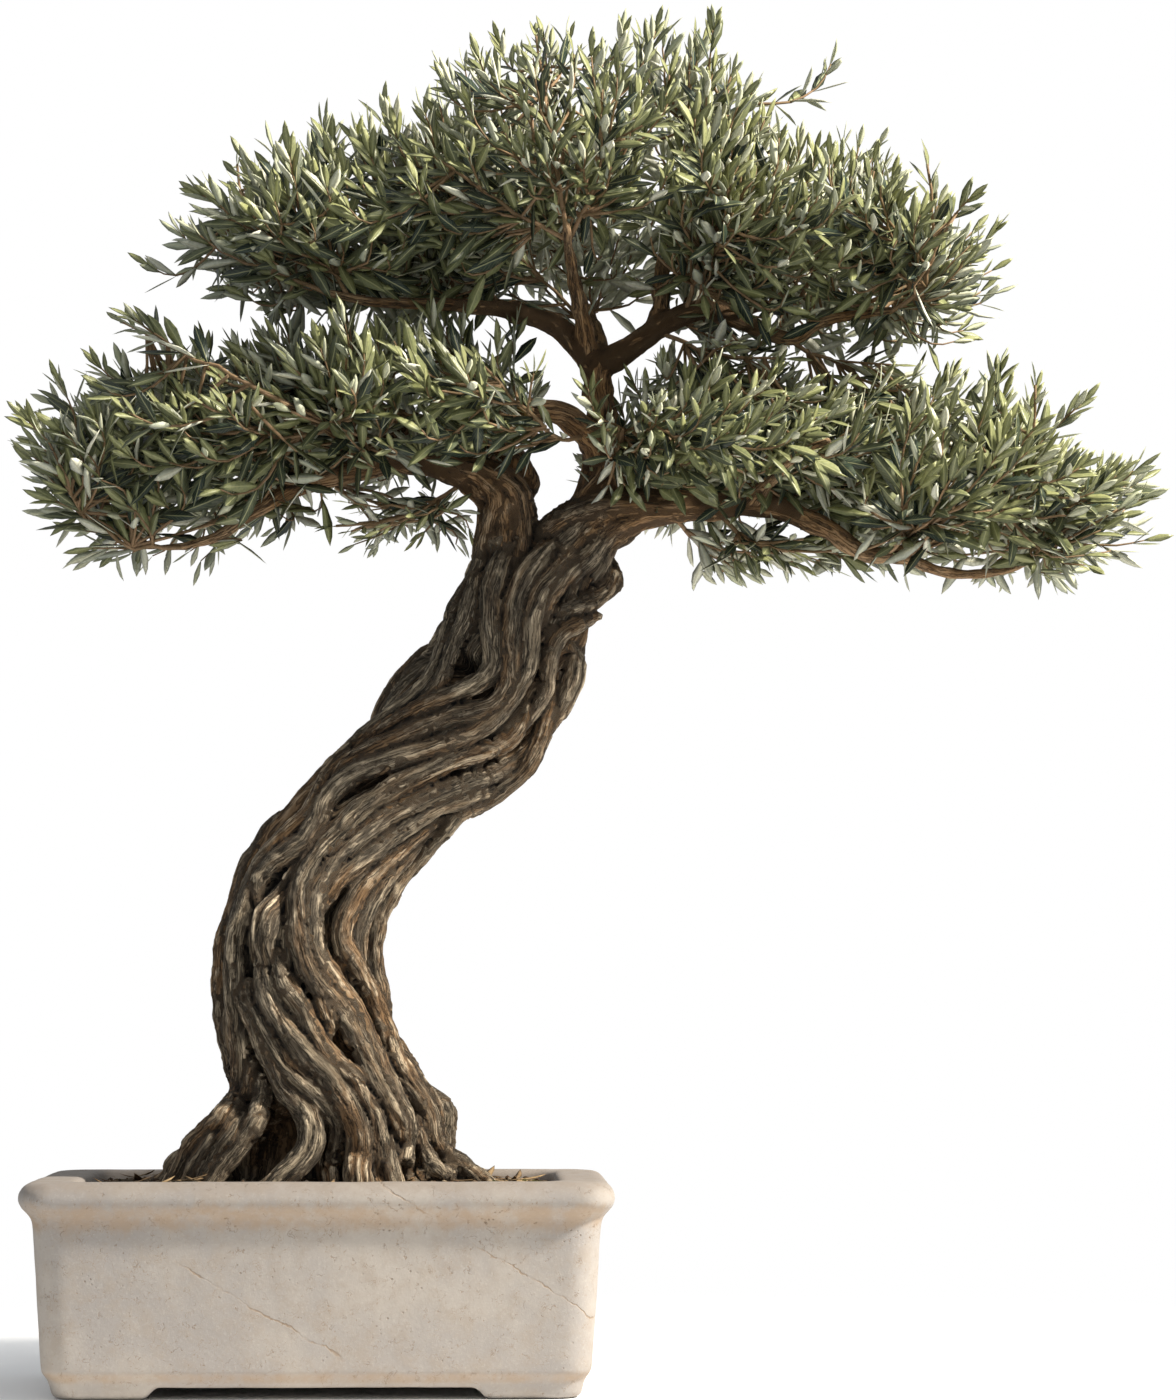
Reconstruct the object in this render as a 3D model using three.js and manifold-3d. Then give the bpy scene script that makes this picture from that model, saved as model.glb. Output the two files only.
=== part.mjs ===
// An olive bonsai: one leaning, twisted trunk in a rectangular stone trough.
// Millimetres, +Z up, +X to the side the crown reaches furthest, -Y the viewing side.
// Everything is drawn about the middle of the trough's foot and moved at the end, so that the
// finished part stands on z = 0 with its own box centred on the Z axis.

import * as THREE from "three";
import { mergeVertices } from "three/addons/utils/BufferGeometryUtils.js";
import Module from "manifold-3d";

const wasm = await Module();
wasm.setup();

// ---------------------------------------------------------------- driving dimensions

const GAP = 0.35; // between pieces that touch
const UP = new THREE.Vector3(0, 0, 1);

const POT_WIDTH = 447;
const POT_DEPTH = 300;
const POT_HEIGHT = 162;
const POT_CORNER = 26;
const RIM_ROLL = 12; // radius of the rounded rim
const FOOT_HEIGHT = 9;
const FOOT_LENGTH = 94; // each corner foot, along the trough's length
const FOOT_DEPTH = 72;
const FOOT_SLOPE = 10; // how far a foot's inner end leans
const CAVITY_WIDTH = 362;
const CAVITY_DEPTH = 228;
const CAVITY_TAPER = 9; // the cavity is this much narrower on each side at its floor
const CAVITY_CORNER = 14;
const FLOOR_TOP = 26;
const DRAIN_RADIUS = 14;
const DRAIN_X = 95;

const SCREEN_SIZE = 46;
const SCREEN_THICK = 1.6;
const SCREEN_CELLS = 3;
const SCREEN_BAR = 3.4;

const GRAVEL_TOP = 46;
const SOIL_EDGE = 153; // height of the soil along the wall
const SOIL_CROWN = 7; // how much higher the soil stands in the middle

// The height of each turn of the trough's outside, and how far it lies inside the rim there.
const POT_PROFILE = [
  [0, 29], [3, 24.5], [15, 22], [18.5, 19], [23, 17], [129, 10.5], [135, 9.5],
];

// The trunk's middle line: x, y, z, half width across the view, half depth.
const TRUNK = [
  [-2, 0, 104, 62, 50], [-2, 0, 126, 106, 72], [-2, 0, 153, 137, 86],
  [-3, 0, 180, 111, 78], [11, -3, 211, 88, 70], [-5, -6, 251, 68, 64],
  [-17, -9, 290, 65, 60], [-20, -9, 329, 64, 58], [-13, -5, 364, 64, 57],
  [5, 1, 403, 61, 55], [36, 7, 443, 54, 53], [77, 11, 478, 57, 52],
  [100, 11, 514, 54, 52], [127, 8, 545, 53, 50], [144, 4, 580, 51, 47],
  [160, 1, 611, 54, 44], [171, 0, 639, 53, 38], [178, 0, 664, 35, 25],
];
const TRUNK_RINGS = 29;
const HOLE_ROOM = 1.09; // the soil's hole beside the root base's own half sizes
const HOLE_SIDES = 24;

// The trunk is a bundle of grown-together strands. Each begins at a groove: the angle of that
// groove at the soil, how deep it is, and how far the strand stands out.
const STRANDS = [
  { groove: 175, depth: 0.14, reach: 1.0 },
  { groove: 226, depth: 0.3, reach: 0.93 },
  { groove: 266, depth: 0.17, reach: 0.96 },
  { groove: 297, depth: 0.22, reach: 1.02 },
  { groove: 328, depth: 0.26, reach: 1.0 },
  { groove: 365, depth: 0.15, reach: 0.95 },
  { groove: 408, depth: 0.2, reach: 1.0 },
  { groove: 452, depth: 0.17, reach: 0.94 },
  { groove: 494, depth: 0.21, reach: 1.0 },
];
const STRAND_SIDES = 4;

// How far the strands have turned round the trunk, in degrees, at a height.
const TWIST = [
  [104, 0], [160, 0], [250, -20], [330, -38], [400, -36], [455, -18], [510, 10], [580, 34],
  [664, 44],
];

// Burls stand out of the trunk and hollows go in: height, angle there, size in and out, spread.
const KNOTS = [
  { z: 646, angle: 8, out: 19, spread: 16 }, // burl under the right limb
  { z: 589, angle: 4, out: 10, spread: 12 }, // burl below it
  { z: 343, angle: 244, out: 9, spread: 20 }, // swollen knot on the left
  { z: 547, angle: 236, out: -15, spread: 10 }, // open knot hole
  { z: 256, angle: 284, out: -17, spread: 15 }, // hollow between two strands
  { z: 186, angle: 231, out: -20, spread: 22 }, // cave between two roots
];

// Limbs, each as a line of points: x, y, z, radius.
const LIMBS = {
  left_limb: [
    [150, -4, 603, 23], [143, -6, 642, 27], [143, -8, 669, 24], [140, -10, 690, 22],
    [126, -13, 703, 18], [106, -15, 711, 14], [81, -17, 717, 11], [52, -20, 718, 9.5],
    [22, -25, 708, 8.2], [-13, -31, 698, 7], [-49, -38, 679, 5.6], [-80, -44, 657, 4.2],
    [-110, -48, 647, 2.8],
  ],
  left_upper: [
    [142, 4, 686, 17], [149, 12, 711, 14], [140, 22, 729, 11], [116, 34, 741, 8],
    [90, 45, 753, 6.4], [58, 56, 765, 5], [22, 66, 775, 4], [-14, 74, 782, 2.8],
  ],
  left_front: [[36, -22, 713, 7], [20, -54, 728, 5], [-4, -86, 742, 3.8], [-34, -112, 754, 2.6]],
  left_back: [[0, -27, 703, 7], [-22, 8, 712, 5], [-54, 46, 716, 3.8], [-92, 76, 722, 2.6]],
  right_limb: [
    [163, 0, 595, 27], [178, 0, 631, 34], [196, -2, 654, 33], [216, -4, 673, 26],
    [247, -8, 682, 16.5], [274, -12, 684, 13.3], [301, -16, 684, 11.7], [342, -22, 685, 10.9],
    [368, -26, 676, 9.3], [396, -30, 662, 7.8], [423, -33, 645, 6.4], [451, -36, 647, 5.2],
    [483, -40, 658, 4.2], [513, -44, 669, 2.8],
  ],
  right_lower: [
    [423, -33, 645, 4.8], [458, -20, 642, 4.4], [490, -5, 633, 4], [533, 12, 636, 3.4],
    [568, 26, 651, 2.6],
  ],
  right_front: [[330, -20, 685, 7], [346, -54, 700, 5], [362, -86, 714, 3.8], [388, -112, 724, 2.6]],
  right_back: [[306, -17, 684, 7], [322, 18, 698, 5.4], [348, 58, 708, 4.2], [386, 96, 716, 2.6]],
  leader: [
    [200, 0, 654, 24], [215, 3, 686, 22], [219, 6, 714, 17.5], [216, 8, 738, 15],
    [218, 8, 760, 12.6], [215, 6, 781, 11.8], [214, 3, 801, 11.5],
  ],
  snag: [[218, 2, 725, 11], [206, -14, 741, 11], [182, -34, 755, 9.3], [154, -52, 756, 7.7]],
  crown_left: [
    [214, 3, 796, 10.2], [197, -6, 813, 9.4], [183, -14, 825, 8.6], [165, -22, 831, 7.8],
    [141, -30, 836, 7], [110, -40, 837, 5.8], [79, -50, 837, 4.6], [41, -60, 837, 3.8],
    [2, -68, 843, 2.8],
  ],
  crown_left_back: [[150, -27, 834, 6.5], [128, 10, 848, 5.2], [98, 50, 858, 4], [62, 88, 870, 2.6]],
  crown_right: [
    [214, 3, 798, 11], [234, 0, 807, 10.2], [257, -4, 823, 9.4], [281, -9, 836, 8.6],
    [301, -14, 839, 7.8], [327, -20, 828, 7], [365, -28, 815, 5.6], [386, -34, 827, 4.8],
    [412, -42, 831, 3.8], [442, -50, 834, 2.8],
  ],
  crown_right_back: [
    [310, -16, 836, 6.5], [330, 18, 845, 5.2], [358, 56, 855, 4], [392, 90, 866, 2.6],
  ],
  crown_upright: [
    [260, -3, 822, 7.5], [264, 4, 845, 7.1], [264, 12, 866, 6.3], [270, 24, 894, 4.8],
    [282, 38, 925, 3.8], [292, 50, 954, 2.8],
  ],
  crown_front: [[206, -2, 806, 7.5], [200, -38, 834, 6], [192, -76, 862, 4.6], [186, -112, 890, 3]],
  crown_back: [[218, 5, 800, 7.5], [214, 42, 830, 6], [206, 82, 858, 4.6], [200, 120, 884, 3]],
};
const LIMB_SIDES = 6;
const THICK_LIMB_SIDES = 9;
const THICK_LIMB = 13; // a limb that starts thicker than this has the finer section
const MANY_SIDES = 12;

// The leaves grow in rounded clouds. Each has its middle, its half sizes, how far it hangs
// below its middle, the leafy sprays that fill it and the seed of the first one's draws.
const CLOUDS = [
  { name: "crown", centre: [216, 5, 940], half: [150, 184, 122], under: 66, sprays: 8, seed: 1 },
  { name: "crown_left", centre: [25, -5, 905], half: [130, 150, 90], under: 54, sprays: 6, seed: 9 },
  { name: "crown_right", centre: [396, 0, 896], half: [118, 150, 94], under: 52, sprays: 7, seed: 50 },
  { name: "left_outer", centre: [-124, -8, 734], half: [112, 136, 98], under: 72, sprays: 6, seed: 22 },
  { name: "left_inner", centre: [42, 4, 766], half: [112, 156, 72], under: 62, sprays: 5, seed: 70 },
  { name: "left_hanging", centre: [62, -10, 668], half: [56, 72, 20], under: 20, sprays: 2, seed: 33 },
  { name: "right_inner", centre: [318, 0, 730], half: [104, 156, 76], under: 58, sprays: 5, seed: 35 },
  { name: "right_outer", centre: [514, -2, 706], half: [122, 144, 92], under: 78, sprays: 7, seed: 40 },
  { name: "right_hanging", centre: [352, -12, 640], half: [58, 66, 14], under: 14, sprays: 2, seed: 60 },
];
const GOLDEN_ANGLE = 137.508;
const LOWEST_SPRAY = -0.5; // how far down a cloud its sprays go, as the cosine from straight up
const SPRAY_REACH = 112; // the length that a spray likes to have
const SPRAY_FROM_LIMB = 14; // sprays grow on limbs thinner than this radius

const STEM_RADIUS = 2.1;
const STEM_TIP_RADIUS = 1.1;
const SHOOT_RADIUS = 1.2;
const SHOOT_TIP_RADIUS = 1;
const TWIG_SIDES = 3;
const STEM_STEPS = 3;
const SHOOTS_AT = [0.46, 0.68]; // where a spray's side shoots leave its stem
const SHOOT_LENGTH = 46;
const SHOOT_LEAN = 48; // degrees between a side shoot and the stem
const LEAF_LENGTH = 37;
const LEAF_WIDTH = 9;
const LEAF_THICK = 1.3;
const LEAF_WIDEST = 0.42; // share of its length from the root
const LEAF_LEAN = 40; // degrees between a leaf and its shoot
const PAIRS_ON_STEM = [0.86, 0.7];
const PAIRS_ON_SHOOT = [0.62];
const CLEARANCE = 0.5; // kept round a leaf or stem of another spray
const BENDS = [0, 24, -24, 48, -48, 75, -75]; // turns tried, in degrees, to bend a leaf clear

// ---------------------------------------------------------------- small helpers

const degrees = THREE.MathUtils.degToRad;
const lerp = THREE.MathUtils.lerp;
const vector = (point) => new THREE.Vector3(point[0], point[1], point[2]);

// Repeatable draws between 0 and 1.
function draws(seed) {
  let state = seed * 7919 + 29;
  return () => {
    state = (state * 16807) % 2147483647;
    return state / 2147483647;
  };
}

// The value at a place in a list of [place, value], straight between the entries.
function between(table, place) {
  const next = table.findIndex((row) => row[0] >= place);
  if (next === 0) return table[0][1];
  if (next < 0) return table[table.length - 1][1];
  const [from, to] = [table[next - 1], table[next]];
  return lerp(from[1], to[1], (place - from[0]) / (to[0] - from[0]));
}

// Column `index` of a list of points, at a share of the way along it.
function along(points, share, index) {
  const place = share * (points.length - 1);
  const first = Math.min(Math.floor(place), points.length - 2);
  return lerp(points[first][index], points[first + 1][index], place - first);
}

function spine(points) {
  return new THREE.CatmullRomCurve3(points.map(vector), false, "catmullrom", 0.5);
}

// ---------------------------------------------------------------- solids

// A section of many sides is closed by a fan from its middle, one of few from its first corner.
function closingPoint(ring) {
  if (ring.length < MANY_SIDES) return null;
  const middle = new THREE.Vector3();
  ring.forEach((point) => middle.addScaledVector(point, 1 / ring.length));
  return middle;
}

// A closed skin over rings of points, each ring counter-clockwise seen from the last one. With
// a tip, the last ring runs out to that point.
function loft(rings, tip = null) {
  const sides = rings[0].length;
  const points = rings.flat();
  const faces = [];
  for (let r = 0; r < rings.length - 1; r += 1) {
    for (let i = 0; i < sides; i += 1) {
      const here = r * sides + i;
      const beside = r * sides + ((i + 1) % sides);
      faces.push(here, beside, beside + sides, here, beside + sides, here + sides);
    }
  }
  const last = (rings.length - 1) * sides;
  const hubs = [closingPoint(rings[0]), tip || closingPoint(rings.at(-1))];
  const caps = hubs.map((hub) => (hub ? points.push(hub) - 1 : null));
  for (let i = 0; i < sides; i += 1) {
    const next = (i + 1) % sides;
    if (caps[0] !== null) faces.push(next, i, caps[0]);
    else if (next > 1) faces.push(next, i, 0);
    if (caps[1] !== null) faces.push(last + i, last + next, caps[1]);
    else if (next > 1) faces.push(last + i, last + next, last);
  }
  const geometry = new THREE.BufferGeometry().setFromPoints(points);
  geometry.setIndex(faces);
  return geometry;
}

function solid(geometry) {
  const bare = geometry.clone();
  bare.deleteAttribute("normal");
  bare.deleteAttribute("uv");
  const merged = mergeVertices(bare, 1e-4);
  return new wasm.Manifold(new wasm.Mesh({
    numProp: 3,
    vertProperties: new Float32Array(merged.attributes.position.array),
    triVerts: new Uint32Array(merged.index.array),
  }));
}

function joined(solids) {
  return solids.slice(1).reduce((whole, next) => whole.add(next), solids[0]);
}

function geometryOf(body) {
  const mesh = body.getMesh();
  const geometry = new THREE.BufferGeometry();
  geometry.setAttribute("position", new THREE.BufferAttribute(mesh.vertProperties, 3));
  geometry.setIndex(new THREE.BufferAttribute(mesh.triVerts, 1));
  geometry.computeVertexNormals();
  return geometry;
}

const model = new THREE.Group();
model.name = "olive_bonsai";

function addPiece(name, body, colour, roughness) {
  const material = new THREE.MeshStandardMaterial({ color: colour, roughness, metalness: 0 });
  const mesh = new THREE.Mesh(geometryOf(body), material);
  mesh.name = name;
  model.add(mesh);
}

// A level rectangle with round corners, as a ring of points.
function roundedRing(width, depth, corner, z, steps = 4) {
  const ring = [];
  [[1, 1, 0], [-1, 1, 90], [-1, -1, 180], [1, -1, 270]].forEach(([sideX, sideY, start]) => {
    for (let step = 0; step <= steps; step += 1) {
      const angle = degrees(start + (90 * step) / steps);
      const x = sideX * (width / 2 - corner) + corner * Math.cos(angle);
      const y = sideY * (depth / 2 - corner) + corner * Math.sin(angle);
      ring.push(new THREE.Vector3(x, y, z));
    }
  });
  return ring;
}

// ---------------------------------------------------------------- the trough and what fills it

function cavityRing(z, clearance = 0) {
  const inset = CAVITY_TAPER * (1 - (z - FLOOR_TOP) / (POT_HEIGHT - FLOOR_TOP)) + clearance;
  const width = CAVITY_WIDTH - 2 * inset;
  return roundedRing(width, CAVITY_DEPTH - 2 * inset, CAVITY_CORNER, z);
}

// A gap with leaning ends under the trough, cut right through it along Y.
function archCutter(length, run) {
  const shape = new THREE.Shape();
  shape.moveTo(-length / 2, -1);
  shape.lineTo(length / 2, -1);
  shape.lineTo(length / 2 - FOOT_SLOPE, FOOT_HEIGHT);
  shape.lineTo(FOOT_SLOPE - length / 2, FOOT_HEIGHT);
  const geometry = new THREE.ExtrudeGeometry(shape, { depth: run, bevelEnabled: false });
  geometry.rotateX(Math.PI / 2);
  geometry.translate(0, run / 2, 0);
  return geometry;
}

function makePot() {
  const profile = POT_PROFILE.slice();
  for (let angle = -50; angle <= 90; angle += 28) {
    const z = POT_HEIGHT - RIM_ROLL + RIM_ROLL * Math.sin(degrees(angle));
    profile.push([z, RIM_ROLL * (1 - Math.cos(degrees(angle)))]);
  }
  const outside = profile.map(([z, inset]) => roundedRing(
    POT_WIDTH - 2 * inset, POT_DEPTH - 2 * inset, POT_CORNER - inset / 4, z,
  ));
  const lip = roundedRing(CAVITY_WIDTH + 6, CAVITY_DEPTH + 6, CAVITY_CORNER + 3, POT_HEIGHT + 1);
  const cavity = [cavityRing(FLOOR_TOP), cavityRing(POT_HEIGHT - 3), lip];
  const sideArch = archCutter(POT_DEPTH - 2 * FOOT_DEPTH, POT_WIDTH + 10);
  sideArch.rotateZ(Math.PI / 2);
  let pot = solid(loft(outside))
    .subtract(solid(loft(cavity)))
    .subtract(solid(archCutter(POT_WIDTH - 2 * FOOT_LENGTH, POT_DEPTH + 10)))
    .subtract(solid(sideArch));
  [-DRAIN_X, DRAIN_X].forEach((x) => {
    const drain = new THREE.CylinderGeometry(DRAIN_RADIUS, DRAIN_RADIUS, FLOOR_TOP + 10, 12);
    drain.rotateX(Math.PI / 2);
    drain.translate(x, 0, FLOOR_TOP / 2);
    pot = pot.subtract(solid(drain));
  });
  addPiece("pot", pot, 0xd2c7ba, 0.7);
}

// A square of plastic mesh over each drain hole keeps the gravel in.
function makeScreen(name, x) {
  const middle = FLOOR_TOP + GAP + SCREEN_THICK / 2;
  const plate = new THREE.BoxGeometry(SCREEN_SIZE, SCREEN_SIZE, SCREEN_THICK);
  plate.translate(x, 0, middle);
  let screen = solid(plate);
  const pitch = (SCREEN_SIZE - SCREEN_BAR) / SCREEN_CELLS;
  const centre = (SCREEN_CELLS - 1) / 2;
  for (let column = 0; column < SCREEN_CELLS; column += 1) {
    for (let row = 0; row < SCREEN_CELLS; row += 1) {
      const cell = new THREE.BoxGeometry(pitch - SCREEN_BAR, pitch - SCREEN_BAR, 10);
      cell.translate(x + (column - centre) * pitch, (row - centre) * pitch, middle);
      screen = screen.subtract(solid(cell));
    }
  }
  addPiece(name, screen, 0x26282a, 0.6);
}

function makeGravel() {
  const bottom = FLOOR_TOP + GAP;
  let gravel = solid(loft([cavityRing(bottom, GAP), cavityRing(GRAVEL_TOP, GAP)]));
  const pocketSize = SCREEN_SIZE + 2 * GAP;
  const pocketHeight = 2 * (SCREEN_THICK + GAP);
  [-DRAIN_X, DRAIN_X].forEach((x) => {
    const pocket = new THREE.BoxGeometry(pocketSize, pocketSize, pocketHeight);
    pocket.translate(x, 0, bottom);
    gravel = gravel.subtract(solid(pocket));
  });
  addPiece("drainage_gravel", gravel, 0x7c7064, 0.9);
}

// The soil rises to a low crown under the tree, with a plain hole that the root base stands in.
function makeSoil() {
  const rings = [cavityRing(GRAVEL_TOP + GAP, GAP), cavityRing(SOIL_EDGE, GAP)];
  [0.72, 0.4].forEach((share) => {
    const height = SOIL_EDGE + SOIL_CROWN * (1 - share * share);
    rings.push(rings[1].map((point) => {
      return new THREE.Vector3(point.x * share, point.y * share, height);
    }));
  });
  addPiece("soil", solid(loft(rings)).subtract(rootHole()), 0x4a3b2c, 0.95);
}

// ---------------------------------------------------------------- the tree's wood

function knotsAt(z, angle, radius) {
  return KNOTS.reduce((sum, knot) => {
    const turn = THREE.MathUtils.euclideanModulo(angle - knot.angle + 180, 360) - 180;
    const away = Math.hypot((z - knot.z) / 1.3, degrees(turn) * radius) / knot.spread;
    return sum + knot.out * Math.exp(-away * away);
  }, 0);
}

// One section of the trunk: a ring that bulges at each strand and dips at each groove.
function trunkRing(share) {
  const curve = spine(TRUNK);
  const centre = curve.getPoint(share);
  const ahead = curve.getTangent(share);
  const deep = new THREE.Vector3(0, 1, 0).addScaledVector(ahead, -ahead.y).normalize();
  const wide = new THREE.Vector3().crossVectors(deep, ahead);
  const halfWidth = along(TRUNK, share, 3);
  const halfDepth = along(TRUNK, share, 4);
  const flare = THREE.MathUtils.smoothstep(260 - centre.z, 0, 110);
  const ring = [];
  STRANDS.forEach((strand, index) => {
    const next = STRANDS[(index + 1) % STRANDS.length];
    const end = next.groove + (index === STRANDS.length - 1 ? 360 : 0);
    const swell = 0.035 * Math.sin(centre.z / 38 + index * 2.3);
    for (let side = 0; side < STRAND_SIDES; side += 1) {
      const across = side / STRAND_SIDES;
      const angle = lerp(strand.groove, end, across) + between(TWIST, centre.z);
      const valley = 1 - lerp(strand.depth, next.depth, across) * (1 + 0.9 * flare);
      const bulge = Math.pow(Math.sin(Math.PI * across), 0.7);
      const spread = Math.hypot(Math.cos(degrees(angle)) / halfWidth,
        Math.sin(degrees(angle)) / halfDepth);
      const reach = lerp(valley, strand.reach + swell, bulge) / spread;
      const radius = reach + knotsAt(centre.z, angle, reach);
      ring.push(centre.clone()
        .addScaledVector(wide, radius * Math.cos(degrees(angle)))
        .addScaledVector(deep, radius * Math.sin(degrees(angle))));
    }
  });
  return ring;
}

function trunkBody() {
  const rings = [];
  for (let step = 0; step < TRUNK_RINGS; step += 1) {
    rings.push(trunkRing(step / (TRUNK_RINGS - 1)));
  }
  return solid(loft(rings));
}

// The plain oval hole that the root base stands in, a little larger than its fullest strand.
function rootHole() {
  const rings = TRUNK.slice(0, 4).map(([x, y, z, halfWidth, halfDepth], index) => {
    const low = index === 0 ? z - GAP : z;
    return new THREE.EllipseCurve(x, y, halfWidth * HOLE_ROOM, halfDepth * HOLE_ROOM)
      .getPoints(HOLE_SIDES).slice(0, HOLE_SIDES)
      .map((point) => new THREE.Vector3(point.x, point.y, low));
  });
  return solid(loft(rings));
}

// Rings of a changing radius along a line, kept from turning about it.
function tubeRings(centres, tangents, radii, sides) {
  const level = Math.abs(tangents[0].z) < 0.9 ? UP : new THREE.Vector3(1, 0, 0);
  let wide = new THREE.Vector3().crossVectors(level, tangents[0]);
  return centres.map((centre, index) => {
    const ahead = tangents[index];
    wide = wide.clone().addScaledVector(ahead, -wide.dot(ahead)).normalize();
    const deep = new THREE.Vector3().crossVectors(ahead, wide);
    const ring = [];
    for (let side = 0; side < sides; side += 1) {
      const angle = (2 * Math.PI * side) / sides;
      ring.push(centre.clone()
        .addScaledVector(wide, radii[index] * Math.cos(angle))
        .addScaledVector(deep, radii[index] * Math.sin(angle)));
    }
    return ring;
  });
}

// A tube along a smooth line through points [x, y, z, radius].
function limbBody(points, sides) {
  const curve = spine(points);
  const shares = points.map((_, index) => index / (points.length - 1));
  const centres = shares.map((share) => curve.getPoint(share));
  const tangents = shares.map((share) => curve.getTangent(share));
  return solid(loft(tubeRings(centres, tangents, points.map((point) => point[3]), sides)));
}

function makeWood() {
  const limbs = Object.values(LIMBS).map((points) => {
    const sides = points[0][3] > THICK_LIMB ? THICK_LIMB_SIDES : LIMB_SIDES;
    return limbBody(points, sides);
  });
  const wood = joined([trunkBody(), ...limbs]);
  addPiece("trunk_and_limbs", wood, 0x6a5844, 0.85);
  return wood;
}

// ---------------------------------------------------------------- the leafy sprays

// The widest section of a leaf: two edges and the keel of its midrib under them.
function leafSection(middle, side, normal, grow) {
  const half = LEAF_WIDTH / 2 + grow;
  const edge = middle.clone().addScaledVector(normal, grow);
  return [
    edge.clone().addScaledVector(side, half),
    edge.clone().addScaledVector(side, -half),
    middle.clone().addScaledVector(normal, -LEAF_THICK - grow),
  ];
}

// A blade that widens from a point inside its twig and narrows again to its tip.
function leafBody(root, direction, face, length, grow = 0) {
  const side = new THREE.Vector3().crossVectors(face, direction).normalize();
  const normal = new THREE.Vector3().crossVectors(direction, side);
  const middle = root.clone().addScaledVector(direction, LEAF_WIDEST * length);
  const ring = leafSection(middle, side, normal, grow);
  const tip = root.clone().addScaledVector(direction, length + grow);
  const geometry = new THREE.BufferGeometry().setFromPoints([root, ...ring, tip]);
  geometry.setIndex([2, 1, 0, 3, 2, 0, 1, 3, 0, 1, 2, 4, 2, 3, 4, 3, 1, 4]);
  return solid(geometry);
}

function boxesMeet(first, second) {
  const [a, b] = [first.boundingBox(), second.boundingBox()];
  return [0, 1, 2].every((axis) => a.min[axis] <= b.max[axis] && b.min[axis] <= a.max[axis]);
}

function isClear(body, others) {
  return others.every((other) => !boxesMeet(body, other) || body.intersect(other).isEmpty());
}

// Where sprays can grow from: places along the thinner limbs.
function limbPlaces() {
  const places = [];
  Object.values(LIMBS).forEach((points) => {
    const curve = spine(points);
    const steps = (points.length - 1) * 3;
    for (let step = 2; step <= steps; step += 1) {
      const radius = along(points, step / steps, 3);
      if (radius > SPRAY_FROM_LIMB) continue;
      places.push({
        point: curve.getPoint(step / steps),
        ahead: curve.getTangent(step / steps),
        radius,
        atEnd: step === steps,
      });
    }
  });
  return places;
}

// The line of a spray's stem, from just clear of a limb out to the spray's tip.
function stemLine(place, tip, extra) {
  const toTip = tip.clone().sub(place.point);
  const distance = toTip.length();
  const out = place.atEnd ? place.ahead.clone()
    : toTip.clone().addScaledVector(place.ahead, -toTip.dot(place.ahead)).normalize();
  const clear = place.atEnd ? 0 : place.radius;
  const start = place.point.clone().addScaledVector(out, clear + GAP + extra);
  const bend = start.clone()
    .addScaledVector(out, 0.3 * distance)
    .addScaledVector(place.ahead, 0.12 * distance);
  return new THREE.QuadraticBezierCurve3(start, bend, tip).getPoints(STEM_STEPS);
}

// A twig is a chain of straight lengths, so that what grows on it starts inside it. It ends in
// a leaf of the given length.
function twigBody(chain, from, to, leafLength, grow = 0) {
  const tangents = chain.map((_, index) => onChain(chain, index / (chain.length - 1)).ahead);
  const radii = chain.map((_, index) => lerp(from, to, index / (chain.length - 1)) + grow);
  const rings = tubeRings(chain, tangents, radii, TWIG_SIDES);
  const [end, ahead] = [chain.at(-1), tangents.at(-1)];
  const side = rings.at(-1)[0].clone().sub(end).normalize();
  const normal = new THREE.Vector3().crossVectors(ahead, side);
  const middle = end.clone().addScaledVector(ahead, LEAF_WIDEST * leafLength);
  rings.push(leafSection(middle, side, normal, grow));
  return solid(loft(rings, end.clone().addScaledVector(ahead, leafLength + grow)));
}

function stemBody(chain, leafLength, grow = 0) {
  return twigBody(chain, STEM_RADIUS, STEM_TIP_RADIUS, leafLength, grow);
}

function onChain(chain, share) {
  const place = share * (chain.length - 1);
  const first = Math.min(Math.floor(place), chain.length - 2);
  const ahead = chain[first + 1].clone().sub(chain[first]).normalize();
  return { point: chain[first].clone().lerp(chain[first + 1], place - first), ahead };
}

// Two directions either side of a shoot, with `turn` degrees round it.
function sideways(ahead, turn) {
  const level = new THREE.Vector3().crossVectors(ahead, Math.abs(ahead.z) < 0.95
    ? UP : new THREE.Vector3(0, 1, 0)).normalize();
  return level.applyAxisAngle(ahead, degrees(turn));
}

function leaning(ahead, out, lean) {
  return ahead.clone().multiplyScalar(Math.cos(degrees(lean)))
    .addScaledVector(out, Math.sin(degrees(lean))).normalize();
}

// The tips of a cloud's sprays, spread evenly over its rounded outside.
function cloudTips(cloud) {
  const tips = [];
  for (let k = 0; k < cloud.sprays; k += 1) {
    const height = 1 - ((k + 0.5) / cloud.sprays) * (1 - LOWEST_SPRAY);
    const ring = Math.sqrt(1 - height * height);
    const turn = degrees(k * GOLDEN_ANGLE + cloud.centre[0]);
    const offset = new THREE.Vector3(
      cloud.half[0] * ring * Math.cos(turn),
      cloud.half[1] * ring * Math.sin(turn),
      (height > 0 ? cloud.half[2] : cloud.under) * height,
    );
    tips.push(vector(cloud.centre).add(offset));
  }
  return tips;
}

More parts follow.
